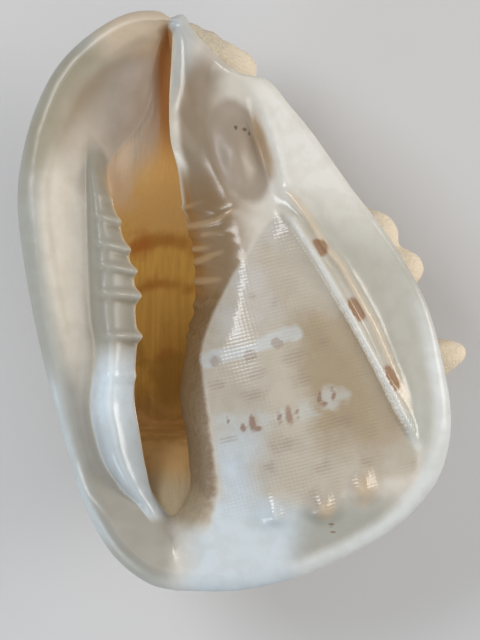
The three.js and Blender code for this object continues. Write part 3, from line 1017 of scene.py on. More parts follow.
@dataclass
class ShellSkin:
    """The whole shell as one closed skin: hollow, face and back on one grid."""

    sizes: Proportions
    body: CoiledBody
    face: Face

    def grow(self) -> None:
        """Lay the grid of points from the inner end of the hollow to the pole of the back."""
        sizes = self.sizes
        hollow, self.depths = MouthHollow(sizes, self.body, self.face).grow(sizes.hollow_rings)
        back = Back(self.body, self.face).grow(sizes.back_rings)
        self.grid = np.concatenate([hollow, self.face.points, back])
        self.grid[0] = self.grid[0].mean(axis=0)
        self.grid[-1] = self.grid[-1].mean(axis=0)
        self.face_start = sizes.hollow_rings
        self.back_start = sizes.hollow_rings + len(self.face.points)
        self.relax()

    def relax(self, passes: int = 50) -> None:
        """Even out the skin where the canal and the mouth's lower end run into the lips.

        Args:
            passes: How often each point moves toward the middle of its neighbours.
        """
        grid, start = self.grid, self.face_start
        ring = np.arange(len(grid))[:, None]
        x, y = grid[..., 0], grid[..., 1]
        upper = ease(42, 60, y) * ease(116, 106, y) * (self.face.turn < self.sizes.bottom_turn)
        upper = upper * ease(start - 18, start - 10, ring) * ease(start + 10, start + 2, ring)
        lower = ease(20, 7, np.hypot(x + 28, y + 89))
        lower = lower * ease(start - 26, start - 16, ring) * ease(start + 30, start + 10, ring)
        tip = ease(9, 3, np.hypot(x + 59, y - 66)) * ease(start - 8, start, ring)
        tip = tip * ease(start + 80, start + 60, ring)
        share = 0.5 * np.maximum(np.maximum(upper, lower), tip)[1:-1, :, None]
        for _ in range(passes):
            beside = np.roll(grid[1:-1], 1, 1) + np.roll(grid[1:-1], -1, 1)
            grid[1:-1] = mix(grid[1:-1], (grid[:-2] + grid[2:] + beside) / 4, share)

    def flat(self, values: Array) -> Array:
        """Grid values in the order of the mesh's vertices, one for each pole."""
        middle = values[1:-1].reshape(-1, *values.shape[2:])
        return np.concatenate([values[0][:1], middle, values[-1][:1]])

    def faces(self) -> list[tuple[int, ...]]:
        """Corner numbers of every quad and of the triangles round the two poles.

        Returns:
            One tuple of vertex numbers for each face, facing outward.
        """
        rings, columns = self.grid.shape[:2]
        number = np.arange((rings - 2) * columns).reshape(rings - 2, columns) + 1
        beside = np.roll(number, -1, axis=1)
        quads = np.stack([number[:-1], number[1:], beside[1:], beside[:-1]], axis=-1)
        pole = number[-1, -1] + 1
        out = [tuple(q) for q in quads.reshape(-1, 4).tolist()]
        out += [(0, int(a), int(b)) for a, b in zip(number[0], beside[0])]
        out += [(int(pole), int(b), int(a)) for a, b in zip(number[-1], beside[-1])]
        return out

    def mesh(self, name: str) -> bpy.types.Mesh:
        """Make the mesh in the part's frame.

        Args:
            name: Name of the mesh.

        Returns:
            The closed mesh with smooth faces that point outward.
        """
        points = self.sizes.placed(self.flat(self.grid))
        made = bpy.data.meshes.new(name)
        made.from_pydata(points.tolist(), [], self.faces())
        made.validate()
        corners = np.zeros(len(made.loops), int)
        made.loops.foreach_get("vertex_index", corners)
        made.calc_loop_triangles()
        tri = np.zeros(len(made.loop_triangles) * 3, int)
        made.loop_triangles.foreach_get("vertices", tri)
        a, b, c = (points[tri.reshape(-1, 3)[:, k]] for k in range(3))
        if np.einsum("ij,ij->i", a, np.cross(b, c)).sum() < 0:
            made.flip_normals()
        made.polygons.foreach_set("use_smooth", np.ones(len(made.polygons), bool))
        return made


# ---- where each colour lies --------------------------------------------------------------------


@dataclass
class Markings:
    """Fields that say where each colour lies: 1 in the middle of a mark, 0 at its edge.

    Each is a product of smooth steps and bells, whose numbers are the places in millimetres
    where the colour begins and ends, or its half width.
    """

    skin: ShellSkin
    window: Pairs = (
        (19, 41), (10, 31), (6.2, 25.4), (-5.6, 6.8), (-13.5, -9.5), (-16.9, -21.8),
        (-15.1, -38.5), (-13.0, -50.8), (-10.6, -66.6), (-9.0, -77.7), (-9.5, -88),
    )
    window_foot: Pairs = (
        (-20, -88), (-6.7, -88), (8.8, -89.5), (14.3, -92.4), (18.5, -88.2), (24.8, -84.5),
        (32.3, -86), (36.1, -88.6), (39.5, -83.2), (43.7, -77.5), (50, -79.8), (55, -75.6),
        (59.5, -73), (66.8, -72.5), (80, -66),
    )
    band_one: Pairs = ((-16.8, -24.8), (2, -20.5), (22.5, -12.2))
    band_two: Pairs = ((-12, -49), (10, -50), (27, -46), (42, -39))
    bars: Spots = (
        (33.8, 23.2, 3.0, 3.8), (47.2, -3.8, 3.6, 5.0), (61.8, -32.4, 3.6, 5.4),
    )
    crescents: Spots = (
        (-5.4, -49.0, 0.6, 2.0), (0.8, -52.0, 1.1, 1.9), (4.6, -49.8, 1.2, 3.8),
        (7.0, -52.4, 1.7, 1.1), (15.8, -47.8, 0.9, 2.8), (19.8, -47.2, 1.4, 3.9),
        (23.2, -46.0, 0.6, 2.2), (32.4, -39.6, 0.9, 3.4), (34.6, -42.2, 1.3, 0.9),
        (38.2, -38.6, 0.7, 3.4), (-14.2, -50.4, 1.2, 3.0),
    )
    crescent_grounds: Spots = (
        (-3.8, -49.6, 4, 4.5), (10.4, -49.6, 3.5, 4.5), (27, -45, 5, 4.5), (36.5, -40, 3.5, 4.5),
    )
    purple: Spots = (
        (22.2, -23.1, 5.0, 3.2), (5.3, -30.6, 4.4, 2.4), (5.3, -38.5, 4.6, 2.6),
        (23.9, -32.1, 5.2, 3.2), (17.3, -58.9, 5.4, 3.4), (33.1, -69.3, 4.0, 3.4),
        (41.4, -48.9, 5.0, 3.0), (31.8, -82.0, 2.6, 4.6), (-10, -34.5, 4.0, 2.6),
        (14, -1, 2.0, 2.6), (4.5, 2, 1.8, 1.4), (-9, -1.5, 1.8, 1.4), (34, -17, 3.4, 2.2),
        (12, -69, 3.4, 2.4), (-5, -57, 3.0, 1.8), (52, -66, 2.4, 3.2),
    )
    blotches: Spots = (
        (-10.5, -24.8, 2.0, 2.4), (3.8, -22.3, 2.2, 2.4), (14.7, -17.2, 2.2, 2.4),
    )
    clouds: Spots = ((2, 8, 9, 20), (12, 32, 9, 8), (-4, -10, 7, 12))
    knob_feet: Spots = (
        (13.5, -89, 3.4, 4.2), (35.0, -86, 3.6, 4.4), (51.5, -77, 5.0, 7.0),
    )
    navel_pits: Spots = (
        (-2.2, 72.6, 0.6, 0.8), (1.5, 72.0, 0.7, 0.7), (3.4, 70.4, 0.5, 0.6),
    )
    pin_holes: Spots = ((37.5, -92.7, 0.8, 0.8), (38.2, -95.3, 0.7, 0.7))
    red_spots: Spots = ((-45, 27, 5, 6), (-41, 8, 4, 5), (-35, -22, 3, 5))

    def __post_init__(self) -> None:
        """Measure where every grid point lies: in plan, from the mouth's edge and from the rim."""
        skin = self.skin
        self.x, self.y, self.z = (skin.grid[..., k] for k in range(3))
        self.ring = np.arange(len(skin.grid))[:, None] * np.ones((1, skin.grid.shape[1]))
        self.place = np.zeros_like(self.x)
        self.place[skin.face_start:skin.back_start] = skin.face.place
        self.place[skin.back_start:] = skin.face.place[-1]
        self.to_rim = skin.face.span - self.place
        bottom = skin.sizes.bottom_turn
        turn = np.broadcast_to(skin.face.turn, self.ring.shape)
        self.right = ease(bottom - 0.035, bottom + 0.035, turn)

    def lay(self) -> dict[str, Array]:
        """Work out every field.

        Returns:
            Field names and one value for each vertex.
        """
        skin = self.skin
        outside = ease(skin.back_start + 1, skin.back_start + 9, self.ring)
        inside = ease(skin.face_start + 0.5, skin.face_start - 3, self.ring)
        fields = {"outside": outside, "inside": inside}
        fields |= self.lip_fields() | self.pillar_fields() | self.shield_fields()
        fields |= self.inside_fields() | self.back_fields()
        fields["sculpted"] = outside * (1 - fields["knob_tips"]) * ease(1, 9, self.z + skin.sizes.face_height)
        return {name: skin.flat(np.asarray(values, float)) for name, values in fields.items()}

    def lip_fields(self) -> dict[str, Array]:
        """Fields of the outer lip.

        Returns:
            Field names and values.
        """
        x, y, place, to_rim, lip = self.x, self.y, self.place, self.to_rim, 1 - self.right
        relief = self.skin.face.lip
        foot = through(relief.foot, y)
        across = (x - foot) / np.maximum(relief.ridge_edge(y) - foot, 1)
        ridge = lip * ease(-0.06, 0.06, across) * ease(-94, -86, y) * ease(72, 60, y)
        ridge = ridge * mix(1.0, ease(1.35, 0.95, across), ease(44, 54, y))
        low = ease(-10, -36, y)
        return {
            "lip_rim": lip * ease(14, 4, to_rim),
            "lip_inner": lip * ease(44, 62, y) * ease(112, 96, y) * ease(30, 6, place) * (1 - ridge),
            "lip_warm": lip * ease(4, 16, to_rim) * ease(-95, -60, y) * ease(0.1, -0.3, across),
            # Painted shade in the furrow at the foot of the toothed ridge.
            "lip_furrow": lip * hump((x - foot + 0.4) / 2.6) * ease(74, 60, y) * ease(-60, 0, y),
            # Painted shade: the upper part of the toothed ridge is greyed where it faces away from the light.
            "tooth_grey": ridge * (1 - low),
            # Painted light: the lower part of the same ridge is painted bluish white where bluish light falls
            # on it.
            "roll_white": ridge * low,
            "edge_warm": lip * hump(place / 1.1) * ease(-90, -60, y) * ease(60, 46, y),
            "lip_top": lip * ease(34, 66, y + 0.9 * np.minimum(x + 62, 0)) * ease(4, 18, to_rim)
            * (1 - ridge),
            # Painted highlight on the crest of each tooth.
            "tooth_light": ridge * np.clip(relief.tooth_height(x, y) / 2.0, 0, 1),
            # Painted shadow just below each tooth.
            "tooth_shade": ridge * np.clip(relief.tooth_height(x, y + 2.9) / 2.0, 0, 1)
            * (1 - np.clip(relief.tooth_height(x, y) / 1.2, 0, 1)),
            "rim_olive": lip * hump((to_rim - 7) / 6.5) * ease(34, 66, y) * ease(114, 100, y),
            "rim_pale": lip * ease(12, 5, to_rim) * ease(-16, -46, y) * ease(-110, -90, y),
            # White callus at the lower end, with bluish sky light painted into its colour.
            "callus": ease(-76, -89, y + 12 * ease(-9, -14, x)) * ease(36, 10, np.abs(x)),
            # Painted shade on the lower lip beside the raised roll of the ridge.
            "lip_foot": ease(0, -60, y) * ease(-22, -34, x) * (1 - ridge) * ease(1, 7, to_rim),
            # Painted light of the roll, dimmer toward its lower end.
            "roll_low": ridge * ease(-30, -70, y),
            "rim_peach": lip * ease(96, 110, y) * ease(-70, -50, x),
            "mouth_foot": self.spots([(-22, -86, 9, 8)], 0.3),
            "tip": hump(np.hypot(x + 62, y - 68) / 9),
            "rim_line": hump((to_rim - 13) / 1.4) * lip * ease(-40, 10, y),
        }

    def window_field(self) -> Array:
        """Where the earlier whorl shows uncovered.

        Returns:
            Field values, 1 on the window and 0 off it.
        """
        x, y = self.x, self.y
        white_x = across_at(self.skin.face.shield.white_ridge, y)
        window = self.right * ease(-1.5, 2.5, x - across_at(self.window, y)) * ease(1, -1.5, x - white_x)
        return window * ease(40, 33, y) * ease(-5, 4, y - through(self.window_foot, x))

    def pillar_fields(self) -> dict[str, Array]:
        """Fields of the pillar's slope, its folds, the navel and the canal's crest.

        Returns:
            Field names and values.
        """
        x, y, place, right = self.x, self.y, self.place, self.right
        shield, uncovered = self.skin.face.shield, 1 - self.window_field()
        slope = right * ease(36, 12, place) * ease(64, 40, y) * ease(-84, -20, y) * uncovered
        across, along = shield.navel.turned(x, y)
        bowl = np.hypot(across / 11.0, along / 22.5)
        upper = ease(1.5, 6, place) * ease(28, 12, place) * ease(28, 44, y) * ease(112, 92, y)
        return {
            "slope": slope,
            "slope_dark": slope * ease(8, 0.5, place) * ease(-60, 0, y),
            "folds": np.clip(shield.fold_height(x, y), 0, 1) * right,
            "upper_slope": right * upper,
            "strip": right * uncovered * ease(10, -4, y) * ease(-98, -78, y) * ease(25, 10, place),
            "navel": right * ease(1.2, 0.85, bowl),
            # Warm ochre on the navel's steep right wall: partly its own colour, partly painted shade.
            "navel_warm": right * hump((across - 9.5) / 3.2) * hump(along / 16),
            "navel_pits": self.spots(self.navel_pits, 0.3),
            "crest": right * ease(70, 94, y) * hump(place / mix(4.5, 11.0, ease(84, 112, y))),
            "crest_line": right * ease(26, 46, y) * hump(place / 1.4),
            "notch": ease(96, 108, y) * hump((x + 31.6) / 2.6) * ease(119, 112, y),
        }

    def shield_fields(self) -> dict[str, Array]:
        """Fields of the shield, its window and the varix.

        Returns:
            Field names and values.
        """
        x, y, to_rim, right = self.x, self.y, self.to_rim, self.right
        relief, window = self.skin.face.shield, self.window_field()
        gap_white, at_white = nearest_on(relief.white_ridge, x, y)
        gap_warm, at_warm = nearest_on(relief.warm_ridge, x, y)
        between = hump((gap_white - gap_warm) / 7) * ease(10.0, 7.8, gap_white + gap_warm)
        between = between * ease(0.02, 0.12, at_white) * ease(0.98, 0.8, at_white)
        band_one, band_two = (nearest_on(band, x, y)[0] for band in (self.band_one, self.band_two))
        whitened = 0.5 * np.clip(1 - band_two / 5.0, 0, 1)
        return {
            "shield": right * ease(-2, 6, x - across_at(relief.white_ridge, y)),
            "shield_top": right * ease(-14, 8, x - 0.1 * y) * ease(14, 62, y + 0.25 * (x - 30)),
            "shield_bright": right * ease(13, 3, to_rim) * ease(30, -40, y),
            "tan_valley": hump((x - 72.5) / 6) * hump((y + 51) / 15) * right,
            "low_right": right * ease(3, 12, to_rim) * ease(8, 24, x) * ease(-70, -94, y),
            "window": window,
            "window_right": window * ease(16, 34, x + 0.16 * (y + 30)) * ease(8, -16, y) * ease(-72, -48, y),
            "window_low": window * self.spots([(-3, -71, 13, 22)], 0.1),
            "window_cloud": window * self.spots(self.clouds, 0.5),
            "band_one": window * np.clip(1 - band_one / 4.2, 0, 1),
            "band_two": window * np.maximum(self.spots(self.crescent_grounds, 0.2), whitened),
            "blotches": window * self.spots(self.blotches, 0.3),
            "crescents": window * self.spots(self.crescents, 0.12),
            "purple": window * self.spots(self.purple, 0.3),
            "varix_dip": between * right,
            "bars": between * right * self.spots(self.bars, 0.52, 6) * ease(0.5, 1.6, gap_white),
            "white_ridge": right * hump(gap_white / 2.0) * ease(0, 0.1, at_white),
            "warm_ridge": right * hump(gap_warm / 2.4) * ease(0, 0.1, at_warm),
            "knob_peach": self.spots(self.knob_feet, -0.35),
            "pin_holes": self.spots(self.pin_holes, 0),
        }

    def spots(self, spots: Spots, lean: float, power: int = 2) -> Array:
        """Field of oval spots that all lean alike.

        Args:
            spots: Centre across, centre along, half width and half length of each.
            lean: Turn of the ovals in radians.
            power: 2 for ovals, more for squarer marks.

        Returns:
            1 at each spot's centre falling to 0 a little past its edge.
        """
        best = np.zeros_like(self.x)
        for at_x, at_y, wide, long in spots:
            spot = Swell(at_x, at_y, 1, wide, long, (math.cos(lean), math.sin(lean)))
            across, along = spot.turned(self.x, self.y)
            ring = ((across / wide) ** power + (along / long) ** power) ** (1 / power)
            best = np.maximum(best, 1 - ring / 1.6)
        return np.clip(best, 0, 1)

    def inside_fields(self) -> dict[str, Array]:
        """Fields of the room behind the mouth, with painted shade, painted light and where the painted glow
        lies.

        Returns:
            Field names and values.
        """
        x, y = self.x, self.y
        off_edge = x - self.skin.face.lip.bare_edge(y)
        arch = 0.02 * (x + 35) ** 2
        return {
            "inside_low": ease(-34, -58, y),
            # Painted light: the upper part of the mouth is painted paler where light falls in.
            "amber_pale": ease(16, 46, y),
            "inside_mottle": ease(12, -30, y) * ease(-74, -62, y),
            # Painted shade deep in the middle of the mouth.
            "inside_dark": hump((y + 34) / 24) * ease(-45, -34, x),
            # Two dark arcs on the mouth's back wall: partly bands of the wall, partly painted shadow.
            "inside_arch": hump((y - 29 + arch) / 3.4) + 0.8 * hump((y - 9 + arch) / 2.6),
            "inside_red": self.spots(self.red_spots, 0),
            "inside_floor": ease(-66, -84, y),
            # Dark orange in the canal's gutter: the amber of the inside, deepened by painted shade.
            "gutter": ease(-37.5, -34.0, x) * ease(52, 84, y),
            "inside_top": ease(48, 76, y + 0.9 * (-38 - x)) * ease(-33.0, -37.0, x),
            "inside_pink": ease(-43, -51, x) * ease(34, 50, y) * ease(84, 66, y),
            # Where the painted glow lies: none at the mouth's lower end, strongest high up, and fading toward
            # the outer edge in the upper mouth.
            "glowing": ease(-84, -60, y) * mix(0.42, 1.0, ease(-40, 60, y))
            * mix(1.0, ease(-3, 9, off_edge), ease(42, 58, y)),
        }

    def back_fields(self) -> dict[str, Array]:
        """Fields of the back: place along the whorl and worn knob tips.

        Returns:
            Field names and values.
        """
        body = self.skin.body
        tips = np.zeros_like(self.x)
        for knob in body.knobs:
            along, degrees = np.array(knob.along), np.array(knob.degrees)
            spot = body.point(along, degrees, body.radius(along, degrees) + knob.height)
            gap = np.linalg.norm(self.skin.grid - spot, axis=-1)
            tips = np.maximum(tips, ease(18, 5, gap) * min(knob.height / 8, 1))
        return {"along": body.coordinates(self.skin.grid)[0], "knob_tips": tips}


# ---- growth sculpture of the back --------------------------------------------------------------


class Op(Enum):
    """Ways to join two values."""

    ADD = "ADD"
    SUBTRACT = "SUBTRACT"
    MULTIPLY = "MULTIPLY"
    DIVIDE = "DIVIDE"
    SINE = "SINE"


@dataclass(frozen=True)
class GrowthSculpture:
    """Spiral cords and growth wrinkles raised on the back; sizes in metres."""

    cord_spacing: float = 0.0062
    cord_height: float = 0.00045
    wrinkle_height: float = 0.0016
    wrinkle_scale: float = 62.0
    seed: float = 7.0

    def tree(self) -> bpy.types.NodeTree:
        """Build the tree that raises the sculpture.

        Returns:
            A geometry tree with one input for each size.
        """
        tree = bpy.data.node_groups.new("growth_sculpture", "GeometryNodeTree")
        face = tree.interface
        face.new_socket("Shell", in_out="INPUT", socket_type="NodeSocketGeometry")
        for name in ("Cord Spacing", "Cord Height", "Wrinkle Height", "Wrinkle Scale", "Seed"):
            face.new_socket(name, in_out="INPUT", socket_type="NodeSocketFloat")
        face.new_socket("Glaze", in_out="INPUT", socket_type="NodeSocketMaterial")
        face.new_socket("Shell", in_out="OUTPUT", socket_type="NodeSocketGeometry")
        add, link = tree.nodes.new, tree.links.new
        given, out = add("NodeGroupInput"), add("NodeGroupOutput")

        def named(name: str) -> Socket:
            """Socket of a named field of the shell.

            Args:
                name: Name of the field.

            Returns:
                Socket that gives it.
            """
            node = add("GeometryNodeInputNamedAttribute")
            node.data_type = "FLOAT"
            node.inputs["Name"].default_value = name
            return node.outputs["Attribute"]

        def maths(kind: Op, a: Socket, b: Socket | float) -> Socket:
            """Join two values with one operation.

            Args:
                kind: The operation.
                a: First value.
                b: Second value.

            Returns:
                Socket of the result.
            """
            node = add("ShaderNodeMath")
            node.operation = kind.value
            link(a, node.inputs[0])
            if isinstance(b, float):
                node.inputs[1].default_value = b
            else:
                link(b, node.inputs[1])
            return node.outputs[0]

        metres = maths(Op.MULTIPLY, named("along"), 0.001)
        along = maths(Op.DIVIDE, metres, given.outputs["Cord Spacing"])
        cords = maths(Op.SINE, maths(Op.MULTIPLY, along, 2 * math.pi), 0.0)
        cords = maths(Op.MULTIPLY, cords, given.outputs["Cord Height"])
        noise = add("ShaderNodeTexNoise")
        noise.noise_dimensions = "4D"
        noise.inputs["Detail"].default_value = 3.0
        link(add("GeometryNodeInputPosition").outputs[0], noise.inputs["Vector"])
        link(given.outputs["Wrinkle Scale"], noise.inputs["Scale"])
        link(given.outputs["Seed"], noise.inputs["W"])
        wrinkle = maths(Op.SUBTRACT, noise.outputs[0], 0.5)
        wrinkle = maths(Op.MULTIPLY, wrinkle, given.outputs["Wrinkle Height"])
        rise = maths(Op.MULTIPLY, maths(Op.ADD, cords, wrinkle), named("sculpted"))
        push = add("ShaderNodeVectorMath")
        push.operation = "SCALE"
        link(add("GeometryNodeInputNormal").outputs[0], push.inputs[0])
        link(rise, push.inputs["Scale"])
        move, real, dress = (
            add("GeometryNodeSetPosition"), add("GeometryNodeRealizeInstances"),
            add("GeometryNodeSetMaterial"),
        )
        link(given.outputs["Shell"], move.inputs["Geometry"])
        link(push.outputs[0], move.inputs["Offset"])
        link(move.outputs[0], real.inputs[0])
        link(real.outputs[0], dress.inputs["Geometry"])
        link(given.outputs["Glaze"], dress.inputs["Material"])
        link(dress.outputs[0], out.inputs["Shell"])
        return tree

    def raise_on(self, piece: bpy.types.Object, glaze: bpy.types.Material) -> None:
        """Raise the sculpture on a piece and keep the result as its plain mesh.

        Args:
            piece: The shell's object.
            glaze: Material that the result carries.
        """
        tree = self.tree()
        sizes = {
            "Cord Spacing": self.cord_spacing, "Cord Height": self.cord_height,
            "Wrinkle Height": self.wrinkle_height, "Wrinkle Scale": self.wrinkle_scale,
            "Seed": self.seed, "Glaze": glaze,
        }
        modifier = piece.modifiers.new("growth_sculpture", "NODES")
        modifier.node_group = tree
        for item in tree.interface.items_tree:
            if item.item_type == "SOCKET" and item.in_out == "INPUT" and item.name in sizes:
                modifier[item.identifier] = sizes[item.name]
        bpy.context.view_layer.update()
        ready = piece.evaluated_get(bpy.context.evaluated_depsgraph_get())
        finished = bpy.data.meshes.new_from_object(ready)
        piece.modifiers.clear()
        plain, piece.data = piece.data, finished
        bpy.data.meshes.remove(plain)
        finished.name = piece.name


# ---- finish ------------------------------------------------------------------------------------


@dataclass(frozen=True)
class Layer:
    """One layer of colour: where it lies, how sharp its edge is and how much it covers."""

    name: str
    colour: Display
    low: float = 0.0
    high: float = 1.0
    strength: float = 1.0
    grain: float = 0.0
    grain_size: float = 0.012
    threaded: bool = False


class Pad:
    """Short ways to add shader nodes to one material."""

    def __init__(self, material: bpy.types.Material) -> None:
        """Start on a material's empty tree.

        Args:
            material: Material whose nodes are made here.
        """
        material.use_nodes = True
        self.tree = material.node_tree
        self.tree.nodes.clear()
        self.place = self.add("ShaderNodeTexCoord").outputs["Object"]

    def add(self, kind: str) -> bpy.types.Node:
        """Add one node."""
        return self.tree.nodes.new(kind)

    def put(self, value: Socket | float | tuple, socket: Socket) -> None:
        """Link a socket to an input, or set the input to a constant.

        Args:
            value: Socket or constant.
            socket: Input that takes it.
        """
        if isinstance(value, Socket):
            self.tree.links.new(value, socket)
        else:
            socket.default_value = value

    def field(self, name: str) -> Socket:
        """Value of a named field.

        Args:
            name: Name of the field.

        Returns:
            Socket that gives it.
        """
        node = self.add("ShaderNodeAttribute")
        node.attribute_name = name
        return node.outputs["Fac"]

    def maths(self, kind: Op, a: Socket | float, b: Socket | float = 0.0) -> Socket:
        """Join two values with one operation.

        Args:
            kind: The operation.
            a: First value.
            b: Second value.

        Returns:
            Socket of the result.
        """
        node = self.add("ShaderNodeMath")
        node.operation = kind.value
        self.put(a, node.inputs[0])
        self.put(b, node.inputs[1])
        return node.outputs[0]

    def times(self, a: Socket | float, b: Socket | float) -> Socket:
        """Product of two values."""
        return self.maths(Op.MULTIPLY, a, b)

    def plus(self, a: Socket | float, b: Socket | float) -> Socket:
        """Sum of two values."""
        return self.maths(Op.ADD, a, b)

    def step(
        self, value: Socket, low: float, high: float, start: float = 0.0, end: float = 1.0
    ) -> Socket:
        """Smooth step of a value.

        Args:
            value: What is stepped.
            low: Value at the start.
            high: Value at the end.
            start: Result at the start.
            end: Result at the end.

        Returns:
            Socket of the result.
        """
        node = self.add("ShaderNodeMapRange")
        node.interpolation_type = "SMOOTHSTEP"
        self.put(value, node.inputs["Value"])
        for name, number in (("From Min", low), ("From Max", high), ("To Min", start), ("To Max", end)):
            node.inputs[name].default_value = number
        return node.outputs[0]

    def noise(
        self, size: float, detail: float = 3.0, stretch: tuple[float, float, float] = (1, 1, 1)
    ) -> Socket:
        """Noise with features of a size in metres.

        Args:
            size: Size of the features.
            detail: Octaves.
            stretch: Scale along each axis before the noise.

        Returns:
            Socket of the noise, about 0.5 on average.
        """
        mapping, node = self.add("ShaderNodeMapping"), self.add("ShaderNodeTexNoise")
        self.put(self.place, mapping.inputs["Vector"])
        mapping.inputs["Scale"].default_value = stretch
        self.put(mapping.outputs[0], node.inputs["Vector"])
        node.inputs["Scale"].default_value = 1.0 / size
        node.inputs["Detail"].default_value = detail
        return node.outputs[0]

    def threads(self, spacing: float, lean: float) -> Socket:
        """Fine parallel threads across the face.

        Args:
            spacing: Distance between threads in metres.
            lean: Turn in the plan, in radians.

        Returns:
            Socket of a wave from 0 to 1.
        """
        mapping, node = self.add("ShaderNodeMapping"), self.add("ShaderNodeTexWave")
        self.put(self.place, mapping.inputs["Vector"])
        mapping.inputs["Rotation"].default_value = (0.0, 0.0, lean)
        self.put(mapping.outputs[0], node.inputs["Vector"])
        node.inputs["Scale"].default_value = 2 * math.pi / (20.0 * spacing)
        node.inputs["Distortion"].default_value = 0.9
        node.inputs["Detail"].default_value = 1.0
        node.inputs["Detail Scale"].default_value = 0.35
        return node.outputs["Fac"]

    def cover(self, under: Socket | Display, over: Socket | Display, share: Socket) -> Socket:
        """Lay one colour over another.

        Args:
            under: Colour that is there.
            over: Colour laid on it.
            share: How much it covers.

        Returns:
            Socket of the colour.
        """
        node = self.add("ShaderNodeMix")
        node.data_type = "RGBA"
        self.put(share, node.inputs[0])
        for colour, socket in ((under, node.inputs[6]), (over, node.inputs[7])):
            self.put(colour if isinstance(colour, Socket) else (*paint(*colour), 1), socket)
        return node.outputs[2]

    def bump(self, height: Socket, depth: float, under: Socket | None) -> Socket:
        """Fine relief.

        Args:
            height: Height from 0 to 1.
            depth: Metres at 1.
            under: Normal that the relief goes on.

        Returns:
            Socket of the new normal.
        """
        node = self.add("ShaderNodeBump")
        node.inputs["Distance"].default_value = depth
        self.put(height, node.inputs["Height"])
        if under is not None:
            self.put(under, node.inputs["Normal"])
        return node.outputs[0]


